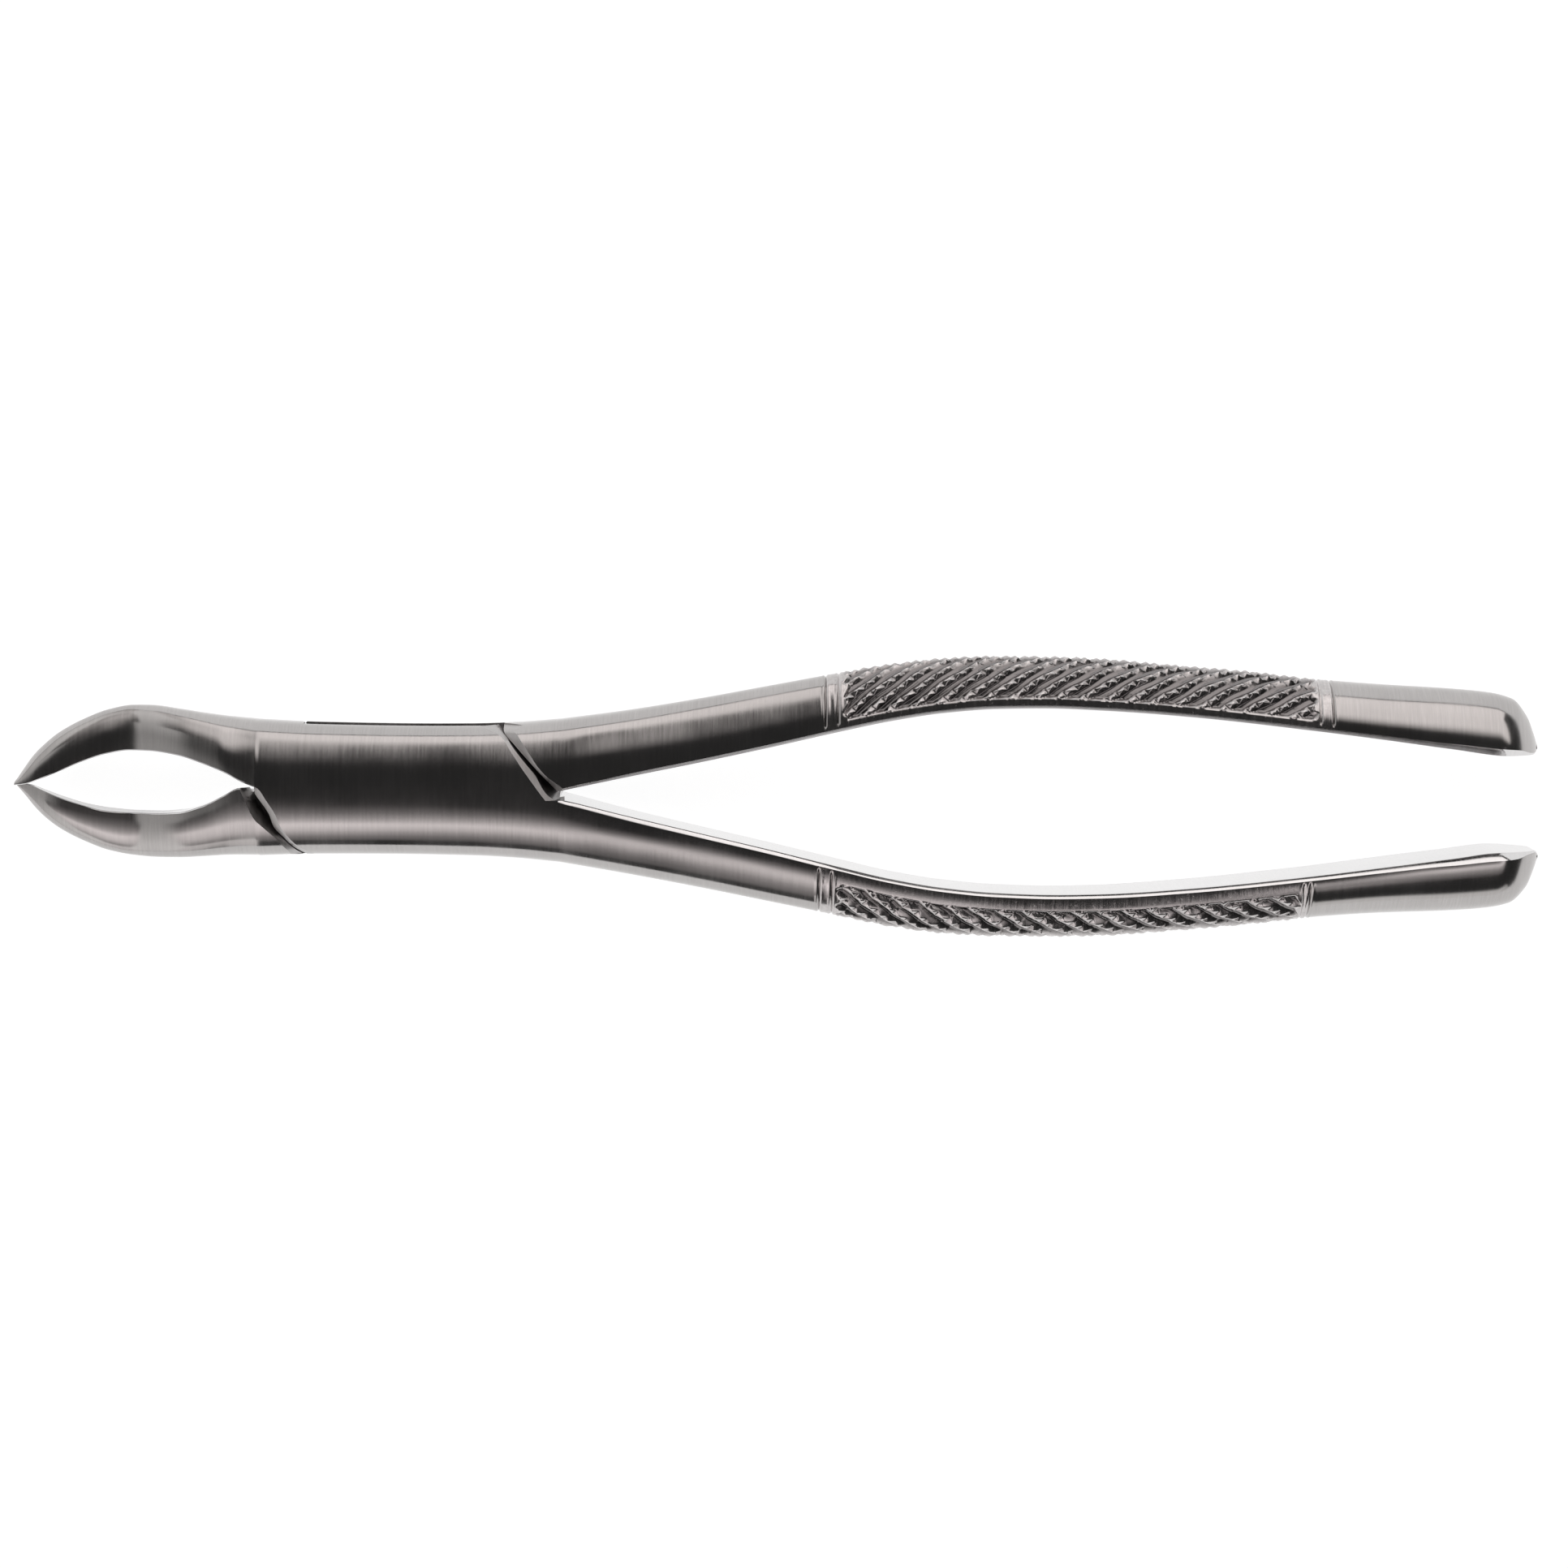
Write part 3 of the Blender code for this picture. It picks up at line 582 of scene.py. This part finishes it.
def cut_away(obj, cutters):
    """Booleans the cutters out of the piece one after another, and keeps the result as its mesh."""
    for cutter in cutters:
        facing_out(cutter)
        slots = np.full(len(cutter.polygons), MILLED, np.int32)
        cutter.polygons.foreach_set("material_index", slots)
        tool = bpy.data.objects.new("cutter", cutter)
        bpy.context.scene.collection.objects.link(tool)
        modifier = obj.modifiers.new("cut", "BOOLEAN")
        modifier.operation = "DIFFERENCE"
        modifier.solver = "EXACT"
        modifier.object = tool
        bpy.context.view_layer.update()
        graph = bpy.context.evaluated_depsgraph_get()
        made = bpy.data.meshes.new_from_object(obj.evaluated_get(graph),
                                               preserve_all_data_layers=True, depsgraph=graph)
        obj.modifiers.clear()
        if not made.polygons:
            raise ValueError(f"{cutter.name} left nothing of {obj.name}")
        old = obj.data
        made.name = obj.name
        obj.data = made
        bpy.data.meshes.remove(old)
        bpy.data.objects.remove(tool)
        bpy.data.meshes.remove(cutter)
    mesh = obj.data
    mesh.shade_smooth()
    mesh.set_sharp_from_angle(angle=math.radians(40))
    # the cut walls keep a crisp edge wherever they meet the rest
    milled = np.empty(len(mesh.polygons), np.int32)
    mesh.polygons.foreach_get("material_index", milled)
    sizes = np.empty(len(mesh.polygons), np.int32)
    mesh.polygons.foreach_get("loop_total", sizes)
    edges = np.empty(len(mesh.loops), np.int32)
    mesh.loops.foreach_get("edge_index", edges)
    faces_round = np.bincount(edges, minlength=len(mesh.edges))
    milled_round = np.bincount(edges, weights=np.repeat(milled == MILLED, sizes),
                               minlength=len(mesh.edges))
    sharp = np.empty(len(mesh.edges), bool)
    mesh.edges.foreach_get("use_edge_sharp", sharp)
    border = (milled_round > 0) & (milled_round < faces_round)
    mesh.edges.foreach_set("use_edge_sharp", sharp | border)


# ---------------------------------------------------------------------------------- materials

class Nodes:
    """Short ways to write a material's node tree."""

    def __init__(self, name):
        self.material = bpy.data.materials.new(name)
        self.material.use_nodes = True
        self.tree = self.material.node_tree
        self.shader = self.tree.nodes["Principled BSDF"]

    def add(self, kind, **values):
        node = self.tree.nodes.new(kind)
        for key, value in values.items():
            setattr(node, key, value)
        return node

    def link(self, source, target):
        self.tree.links.new(source, target)

    def noise(self, scale_xyz, detail=2.0, roughness=0.5, seed=0.0):
        """Noise over the object's own coordinates, with this many bumps a metre along each axis."""
        where = self.add("ShaderNodeTexCoord")
        mapping = self.add("ShaderNodeMapping")
        mapping.inputs["Scale"].default_value = scale_xyz
        mapping.inputs["Location"].default_value = (seed, seed * 1.7, seed * 0.6)
        self.link(where.outputs["Object"], mapping.inputs["Vector"])
        node = self.add("ShaderNodeTexNoise")
        node.inputs["Scale"].default_value = 1.0
        node.inputs["Detail"].default_value = detail
        node.inputs["Roughness"].default_value = roughness
        self.link(mapping.outputs["Vector"], node.inputs["Vector"])
        return node.outputs["Fac"]

    def spread(self, source, low, high, from_low=0.3, from_high=0.7):
        """The source's range from_low to from_high turned into low to high."""
        node = self.add("ShaderNodeMapRange")
        values = {"From Min": from_low, "From Max": from_high, "To Min": low, "To Max": high}
        for key, value in values.items():
            node.inputs[key].default_value = value
        self.link(source, node.inputs["Value"])
        return node.outputs["Result"]

    def math(self, operation, a, b):
        node = self.add("ShaderNodeMath", operation=operation)
        for socket, value in zip(node.inputs, (a, b)):
            if isinstance(value, (int, float)):
                socket.default_value = value
            else:
                self.link(value, socket)
        return node.outputs[0]

    def mix(self, factor, a, b):
        node = self.add("ShaderNodeMix", data_type="RGBA")
        self.link(factor, node.inputs["Factor"])
        node.inputs["A"].default_value = (*a, 1)
        node.inputs["B"].default_value = (*b, 1)
        return node.outputs["Result"]

    def bump(self, height, strength, distance, after=None):
        node = self.add("ShaderNodeBump")
        node.inputs["Strength"].default_value = strength
        node.inputs["Distance"].default_value = distance
        self.link(height, node.inputs["Height"])
        if after is not None:
            self.link(after, node.inputs["Normal"])
        return node.outputs["Normal"]


VALLEY = -0.3              # heights of the knurling at which its painted valley shade is darkest and its crests brightest, millimetres
CREST = 0.08
STREAK_DEPTH = 0.00002     # of the brushing, metres


def steel(name, light, dark, rough, streak_rough, streak_bump, anisotropic=0.0, scuffs=0.0,
          painted_valley_shade=False):
    """Stainless steel brushed across the long axis, with faint clouding and a few handling marks.
    For the knurling it lays a bright colour on the crests of its "height" and a dark one in the
    valleys, and that dark is painted shade in the hollows."""
    n = Nodes(name)
    streak = n.noise((5200, 260, 260), detail=3, roughness=0.6)
    fine = n.noise((14000, 700, 700), detail=1, seed=3.1)
    cloud = n.noise((140, 160, 160), detail=3, seed=7.7)
    speck = n.noise((2600, 2600, 2600), detail=2, seed=1.3)
    tone = n.math("ADD", n.math("MULTIPLY", streak, 0.55), n.math("MULTIPLY", cloud, 0.45))
    shade = n.spread(tone, 0, 1, 0.35, 0.65)
    if painted_valley_shade:
        # painted shade: the base colour darkens down into the knurl's valleys and lightens on its
        # crests
        height = n.add("ShaderNodeAttribute")
        height.attribute_name = "height"
        ground = n.math("ADD", height.outputs["Fac"], n.spread(speck, -0.04, 0.04))
        shade = n.math("MULTIPLY", n.spread(ground, 0.12, 1.0, VALLEY, CREST),
                       n.spread(tone, 0.75, 1.0, 0.35, 0.65))
    n.link(n.mix(shade, dark, light), n.shader.inputs["Base Color"])
    roughness = n.math("ADD", n.spread(streak, rough - streak_rough, rough + streak_rough),
                       n.spread(cloud, -0.03, 0.03))
    if scuffs:
        roughness = n.math("ADD", roughness, n.spread(speck, 0, scuffs, 0.6, 0.8))
    n.link(roughness, n.shader.inputs["Roughness"])
    normal = n.bump(streak, streak_bump, STREAK_DEPTH)
    normal = n.bump(fine, streak_bump * 0.6, STREAK_DEPTH / 2, normal)
    n.link(normal, n.shader.inputs["Normal"])
    n.shader.inputs["Metallic"].default_value = 1.0
    if anisotropic:
        n.shader.inputs["Anisotropic"].default_value = anisotropic
        n.shader.inputs["Anisotropic Rotation"].default_value = 0.25
        tangent = n.add("ShaderNodeTangent", direction_type="RADIAL", axis="X")
        n.link(tangent.outputs["Tangent"], n.shader.inputs["Tangent"])
    return n.material


satin = steel("satin_steel", (0.465, 0.45, 0.443), (0.405, 0.392, 0.386), 0.17, 0.015, 0.03,
              anisotropic=0.55)
polished = steel("polished_steel", (0.69, 0.68, 0.68), (0.63, 0.625, 0.625), 0.09, 0.02, 0.03)
# the knurled grip's dark colour is painted shade, laid into the valleys of its knurling by height
knurled = steel("knurled_steel", (0.66, 0.635, 0.63), (0.16, 0.15, 0.15), 0.18, 0.05, 0.12,
                scuffs=0.12, painted_valley_shade=True)
milled = steel("milled_steel", (0.50, 0.485, 0.48), (0.40, 0.39, 0.385), 0.38, 0.06, 0.15)


# ------------------------------------------------------------------------------------- pieces

RING_STEP = 0.1            # between stations beside the turned rings
BARREL_STEP = 0.5
BARREL_END = 0.02          # stations this far on either side of a step in the barrel's shape


def shank_mesh(name, lines, rings_at):
    """Beak, neck, barrel of the joint and shank, up to the bottom of the first ring."""
    beak = stations(TIP_X, -40, 0.35) + stations(-39.6, -32, 0.4) + stations(-31.6, NECK_X, 0.4)
    barrel = [NECK_X + 0.12] + stations(-16, INSET_FROM - BARREL_END, BARREL_STEP)
    barrel += stations(INSET_FROM + BARREL_END, INSET_TO - BARREL_END, BARREL_STEP)
    barrel += stations(INSET_TO + BARREL_END, ROOT_X - 0.1, BARREL_STEP)
    end = rings_at[0]
    shank = stations(ROOT_X, end - 0.8, 0.8) + stations(end - 0.7, end, RING_STEP)
    rings = [beak_ring(x, lines, SIDE_POINTS) for x in beak]
    rings += [joint_ring(x, lines, SIDE_POINTS) for x in barrel]
    rings += [handle_ring(x, lines, rings_at, SIDE_POINTS, SIDE_POINTS) for x in shank]

    def wall_faces(x):
        if x < NECK_X:
            return 0, SIDE_POINTS
        return (SIDE_POINTS, 2 * SIDE_POINTS) if x > ROOT_X else (0, 0)

    return loft(name, beak + barrel + shank, rings, wall_faces)


def grip_mesh(name, lines, rings_at, style):
    """The knurled grip between the first and the last ring. Its "height" says how far each point
    stands out of the plain handle, in millimetres."""
    start, end = style["from"], style["to"]
    xs = stations(rings_at[0], start - 0.4, RING_STEP) + stations(start - 0.3, end + 0.3, 0.125)
    xs += stations(end + 0.4, rings_at[-1], RING_STEP)
    relief = knurl_relief(style)
    rings = [handle_ring(x, lines, rings_at, GRIP_POINTS, WALL_POINTS, relief) for x in xs]
    mesh = loft(name, xs, rings, lambda x: (GRIP_POINTS, GRIP_POINTS + WALL_POINTS))
    plain = np.concatenate([handle_ring(x, lines, rings_at, GRIP_POINTS, WALL_POINTS) for x in xs])
    moved = np.concatenate(rings) - plain
    centre = np.repeat([ring.mean(axis=0) for ring in rings], len(rings[0]), axis=0)
    outward = np.sign((moved * (plain - centre)).sum(axis=1))
    height = mesh.attributes.new("height", "FLOAT", "POINT")
    height.data.foreach_set("value", (outward * np.linalg.norm(moved, axis=1)).astype(np.float32))
    return mesh


def end_mesh(name, lines, rings_at):
    """The flared end of a handle, from the bottom of the last ring, with its dome."""
    start, end = rings_at[-1], lines["end_x"]
    turns = np.radians(np.linspace(0, DOME_TURN, 32))
    xs = stations(start, start + 0.7, RING_STEP) + stations(start + 0.8, end - END_ROUND - 0.3, 0.6)
    xs += [end - END_ROUND * (1 - math.sin(turn)) for turn in turns]
    rings = [handle_ring(x, lines, rings_at, END_POINTS, WALL_POINTS) for x in xs]
    return loft(name, xs, rings, lambda x: (END_POINTS, END_POINTS + WALL_POINTS))


def cutter_meshes(turned, with_cleft):
    """What is cut out of a half's beak and joint: the pin's hole, the cleft and the lap joint."""
    hole = disc_outline(PIN_RADIUS + RUNNING_GAP)
    if turned:
        seat = disc_outline(PIN_HEAD_RADIUS + RUNNING_GAP)
        seat_top = -LAP_Z + PIN_HEAD_HEIGHT + RUNNING_GAP
        cutters = [prism("seat", [(z, seat) for z in (-LAP_Z - CUTTER_REACH / 2, seat_top)]),
                   prism("hole", [(z, hole) for z in (-LAP_Z - CUTTER_REACH, CUTTER_REACH / 2)])]
    else:
        cutters = [prism("hole", [(z, hole) for z in (-CUTTER_REACH / 2, PIN_TOP + RUNNING_GAP)])]
    if with_cleft:
        cutters.append(cleft_prism("cleft"))
    shaped = [lamina_relief("beak_relief", LAMINA_BEAK_EDGE, LAMINA_BEAK_FOOT, LAMINA_BEAK_FOOT,
                            CUT_BEAK_X),
              lamina_relief("handle_relief", LAMINA_HANDLE_EDGE, LAMINA_HANDLE_FOOT,
                            LAMINA_HANDLE_LAP, CUT_HANDLE_X),
              lap_recess("lap_recess")]
    if turned:
        shaped = [turned_over(mesh) for mesh in shaped]
    return cutters + shaped


def half_pieces(half, outlines, turned):
    """The three pieces of one half, riding on its body in place of its CAD node."""
    tables = dict(outlines, beak_widest=BEAK_WIDEST, beak_lean=((TIP_X, 0.0), (NECK_X, 0.0)),
                  handle_lean=HANDLE_LEAN)
    if turned:
        # drawn upside down, because the whole half is turned over afterwards
        tables.update(beak_lean=BEAK_LEAN, handle_lean=((ROOT_X, 0.0), (END_X[half], 0.0)),
                      beak_widest=[(x, -share) for x, share in BEAK_WIDEST],
                      beak_top=[(x, -z) for x, z in outlines["beak_under"]],
                      beak_under=[(x, -z) for x, z in outlines["beak_top"]])
    lines = {name: smooth_curve(points) for name, points in tables.items()}
    lines["end_x"] = END_X[half]
    meshes = [shank_mesh(f"{half}_beak_and_joint", lines, RINGS[half]),
              grip_mesh(f"{half}_grip", lines, RINGS[half], KNURL[half]),
              end_mesh(f"{half}_handle_end", lines, RINGS[half])]
    if turned:
        meshes = [turned_over(mesh) for mesh in meshes]
    finishes = [(satin, polished, milled), (knurled, polished), (satin, polished)]
    pieces = [add_piece(mesh, finish) for mesh, finish in zip(meshes, finishes)]
    cut_away(pieces[0], cutter_meshes(turned, with_cleft=not turned))
    for piece in pieces:
        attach(piece, half)
        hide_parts(f"{half}_half")


def pin_piece():
    """The headed pin, turned: a lightly domed head with a worn rim, shaft and chamfered tip."""
    head_top = -LAP_Z + PIN_HEAD_HEIGHT
    profile = [(0.0, PIN_TOP), (PIN_RADIUS - PIN_CHAMFER, PIN_TOP),
               (PIN_RADIUS, PIN_TOP - PIN_CHAMFER), (PIN_RADIUS, head_top + PIN_FILLET),
               (PIN_RADIUS + PIN_FILLET, head_top), (PIN_HEAD_RADIUS - 0.05, head_top),
               (PIN_HEAD_RADIUS, head_top - 0.05), (PIN_HEAD_RADIUS, -LAP_Z + 0.22),
               (PIN_HEAD_RADIUS - 0.06, -LAP_Z + 0.09), (PIN_HEAD_RADIUS - 0.2, -LAP_Z + 0.02),
               (PIN_HEAD_RADIUS - 0.4, -LAP_Z), (0.0, -LAP_Z)]
    turn = np.arange(PIN_SIDES) * 2 * math.pi / PIN_SIDES
    points = [(0, 0, profile[0][1])]
    for radius, z in profile[1:-1]:
        points += [(radius * math.cos(t), radius * math.sin(t), z) for t in turn]
    points.append((0, 0, profile[-1][1]))
    faces = []
    rows = len(profile) - 2
    for i in range(PIN_SIDES):
        j = (i + 1) % PIN_SIDES
        faces.append((0, 1 + i, 1 + j))
        for row in range(rows - 1):
            a = 1 + row * PIN_SIDES
            faces.append((a + i, a + PIN_SIDES + i, a + PIN_SIDES + j, a + j))
        last = 1 + (rows - 1) * PIN_SIDES
        faces.append((len(points) - 1, last + j, last + i))
    mesh = bpy.data.meshes.new("pivot_pin_turned")
    mesh.from_pydata([(x * MM, y * MM, (z + LAP_Z) * MM) for x, y, z in points], [], faces)
    pin = add_piece(mesh, (polished,), smooth_angle=50)
    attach(pin, "front")
    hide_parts("pivot_pin")


half_pieces("front", FRONT_LINES, turned=False)
half_pieces("rear", REAR_LINES, turned=True)
pin_piece()


# --------------------------------------------------------------------- floor, light and camera

# In metres, over the table
FLOOR_HALF = 3.0
FLOOR_DROP = 0.0001
FLOOR_GREY = 0.25
FLOOR_GLOW = 0.93          # keeps the table as pale as the photo's plain backdrop
CEILING = 0.5              # height of the two light sheets
FAR_WALL_Y = 1.15          # the far sheet comes down to a wall here
FAR_WALL_FOOT = 0.06
# Far sheet: x, how far from the middle its edge is, brightness
FAR_COLUMNS = ((-0.90, 0.50, 0.4), (-0.45, 0.46, 0.5), (-0.30, 0.40, 0.85), (-0.16, 0.20, 1.0),
               (-0.125, 0.19, 1.0), (-0.11, 0.44, 1.0), (-0.098, 0.72, 1.0), (-0.085, 1.0, 1.0),
               (-0.06, 0.92, 1.0), (-0.03, 0.86, 1.0), (-0.01, 0.5, 1.0), (0.03, 0.215, 1.0),
               (0.12, 0.20, 1.0), (0.22, 0.25, 1.0), (0.45, 0.19, 1.0), (0.9, 0.1, 1.0))
# and the brightness at shares of that distance
FAR_FADE = ((0.72, 0.0), (1.0, 0.45), (1.3, 1.0), (1.7, 1.3))
# Near sheet: x, distance of its brightest line, how far it fades inwards and outwards, brightness
NEAR_COLUMNS = ((-0.90, 0.45, 0.16, 0.9, 0.7), (-0.45, 0.34, 0.24, 0.8, 0.9),
                (-0.22, 0.34, 0.30, 0.7, 1.0), (-0.12, 0.36, 0.34, 0.6, 1.1),
                (-0.07, 0.37, 0.26, 0.33, 1.0), (-0.04, 0.36, 0.26, 0.31, 1.0),
                (0.02, 0.27, 0.14, 0.18, 1.0), (0.05, 0.24, 0.10, 0.15, 1.0),
                (0.08, 0.38, 0.06, 0.18, 1.0), (0.16, 0.38, 0.06, 0.18, 1.0),
                (0.18, 0.19, 0.08, 0.15, 1.0), (0.22, 0.16, 0.08, 0.15, 1.0),
                (0.5, 0.05, 0.08, 0.15, 1.0))
ROOM_GLOW = 0.035          # of the dark room round the lights
BACKDROP_GLOW = 0.95       # of what the camera sees past the table
CAMERA_TARGET = (0.0437, 0.00098, 0.0054)
CAMERA_TILT = 6.0          # degrees
CAMERA_ROLL = 0.616
CAMERA_DISTANCE = 0.43
SENSOR = 36                # millimetres
PHOTO_PIXELS = 1932        # width of the photo, and the size of one of its pixels on the forceps
PIXEL_SIZE = 0.09343


def floor():
    mesh = bpy.data.meshes.new("floor")
    corners = [(x * FLOOR_HALF, y * FLOOR_HALF, 0) for x, y in ((-1, -1), (1, -1), (1, 1), (-1, 1))]
    mesh.from_pydata(corners, [], [(0, 1, 2, 3)])
    obj = bpy.data.objects.new("floor", mesh)
    obj.location.z = -FLOOR_DROP
    bpy.context.scene.collection.objects.link(obj)
    material = bpy.data.materials.new("pale_floor")
    material.use_nodes = True
    shader = material.node_tree.nodes["Principled BSDF"]
    shader.inputs["Base Color"].default_value = (FLOOR_GREY, FLOOR_GREY, FLOOR_GREY, 1)
    shader.inputs["Roughness"].default_value = 0.9
    shader.inputs["Specular IOR Level"].default_value = 0.0
    shader.inputs["Emission Color"].default_value = (1, 1, 1, 1)
    shader.inputs["Emission Strength"].default_value = FLOOR_GLOW
    mesh.materials.append(material)


def panel(name, columns, tint):
    """A sheet of light through columns of (x, y, z, brightness). It shows in reflections, but the
    camera doesn't see it."""
    rows = len(columns[0])
    points = [point[:3] for column in columns for point in column]
    faces = []
    for c in range(len(columns) - 1):
        for r in range(rows - 1):
            a = c * rows + r
            faces.append((a, a + 1, a + rows + 1, a + rows))
    mesh = bpy.data.meshes.new(name)
    mesh.from_pydata(points, [], faces)
    glow = mesh.attributes.new("glow", "FLOAT", "POINT")
    glow.data.foreach_set("value", [point[3] for column in columns for point in column])
    material = bpy.data.materials.new(name)
    material.use_nodes = True
    tree = material.node_tree
    tree.nodes.clear()
    output = tree.nodes.new("ShaderNodeOutputMaterial")
    emission = tree.nodes.new("ShaderNodeEmission")
    emission.inputs["Color"].default_value = (*tint, 1)
    attribute = tree.nodes.new("ShaderNodeAttribute")
    attribute.attribute_name = "glow"
    tree.links.new(attribute.outputs["Fac"], emission.inputs["Strength"])
    tree.links.new(emission.outputs["Emission"], output.inputs["Surface"])
    mesh.materials.append(material)
    obj = bpy.data.objects.new(name, mesh)
    bpy.context.scene.collection.objects.link(obj)
    obj.visible_camera = False
    obj.visible_shadow = False


def far_side_light():
    """Bright low down behind the forceps, fading out overhead along a slanting edge."""
    columns = []
    for x, edge, level in FAR_COLUMNS:
        column = [(x, min(edge * share, FAR_WALL_Y), CEILING, glow * level)
                  for share, glow in FAR_FADE]
        columns.append(column + [(x, FAR_WALL_Y, CEILING, 1.4 * level),
                                 (x, FAR_WALL_Y, FAR_WALL_FOOT, 1.45 * level)])
    panel("far_side_light", columns, (1.0, 0.955, 0.94))


def near_side_light():
    """A long slanting strip on the near side, sharp towards the middle and soft away from it."""
    columns = []
    for x, peak, inner, outer, level in NEAR_COLUMNS:
        rows = ((inner, 0.0), (inner * 0.6, 0.3), (inner * 0.25, 0.75), (0.0, 1.4),
                (-outer * 0.35, 1.05), (-outer * 0.8, 0.5), (-outer * 1.6, 0.2),
                (-outer * 2.4, 0.0))
        columns.append([(x, -peak + shift, CEILING, glow * level) for shift, glow in rows])
    panel("near_side_light", columns, (1.0, 0.94, 0.94))


def wall_light(name, places, profile, tint):
    """A standing light through (x, y, brightness), whose profile is (height, brightness)."""
    panel(name, [[(x, y, z, glow * level) for z, glow in profile] for x, y, level in places], tint)


def low_light():
    """A low pale board beyond the near side of the handle ends."""
    places = [(x, -0.9, level) for x, level in ((0.06, 0.0), (0.2, 1.0), (0.5, 1.0), (0.9, 0.6))]
    wall_light("low_light", places, ((0.0, 1.0), (0.16, 0.95), (0.27, 0.0)), (1.0, 0.985, 0.975))


def beak_light():
    """A tall pale wall beyond the beaks."""
    places = [(-0.6, y, level) for y, level in ((-1.2, 1.2), (-0.5, 1.0), (-0.2, 0.65), (0.0, 0.5),
                                                (0.1, 0.45), (0.35, 0.8), (0.7, 1.0), (1.2, 1.1))]
    profile = ((0.02, 0.9), (0.3, 1.0), (0.52, 1.0), (0.65, 0.75), (0.74, 0.35), (0.82, 0.1),
               (0.95, 0.0))
    wall_light("beak_light", places, profile, (1.0, 0.985, 0.975))


def neck_light():
    """A low pale wall on the near side, away beyond the beaks."""
    places = [(x, -1.25, level) for x, level in ((-0.24, 0.0), (-0.34, 1.0), (-2.6, 1.0))]
    wall_light("neck_light", places, ((0.02, 0.95), (0.3, 1.0), (0.6, 1.0), (0.75, 0.0)),
               (1.0, 0.96, 0.955))


def world():
    """White to the camera, and nearly dark to everything else."""
    made = bpy.data.worlds.new("studio")
    bpy.context.scene.world = made
    made.use_nodes = True
    tree = made.node_tree
    tree.nodes.clear()
    output = tree.nodes.new("ShaderNodeOutputWorld")
    path = tree.nodes.new("ShaderNodeLightPath")
    mix = tree.nodes.new("ShaderNodeMixShader")
    tree.links.new(path.outputs["Is Camera Ray"], mix.inputs["Fac"])
    for socket, glow in ((1, ROOM_GLOW), (2, BACKDROP_GLOW)):
        background = tree.nodes.new("ShaderNodeBackground")
        background.inputs["Color"].default_value = (1, 1, 1, 1)
        background.inputs["Strength"].default_value = glow
        tree.links.new(background.outputs["Background"], mix.inputs[socket])
    tree.links.new(mix.outputs["Shader"], output.inputs["Surface"])


def camera():
    """Looks down on the forceps from a little on the front beak's side, as close as 430 mm."""
    tilt = math.radians(CAMERA_TILT)
    roll = math.radians(CAMERA_ROLL)
    back = Vector((0, math.sin(tilt), math.cos(tilt)))
    up = Vector((0, math.cos(tilt), -math.sin(tilt)))
    right = Vector((1, 0, 0))
    across = right * math.cos(roll) + up * math.sin(roll)
    upward = up * math.cos(roll) - right * math.sin(roll)
    data = bpy.data.cameras.new("camera")
    data.sensor_width = SENSOR
    data.lens = SENSOR * CAMERA_DISTANCE / (PHOTO_PIXELS * PIXEL_SIZE * MM)
    data.clip_start = 0.01
    data.clip_end = 20
    obj = bpy.data.objects.new("camera", data)
    bpy.context.scene.collection.objects.link(obj)
    obj.matrix_world = (Matrix.Translation(Vector(CAMERA_TARGET) + back * CAMERA_DISTANCE)
                        @ Matrix((across, upward, back)).transposed().to_4x4())
    bpy.context.scene.camera = obj


floor()
far_side_light()
near_side_light()
low_light()
beak_light()
neck_light()
world()
camera()
bpy.context.scene.view_settings.view_transform = "Standard"
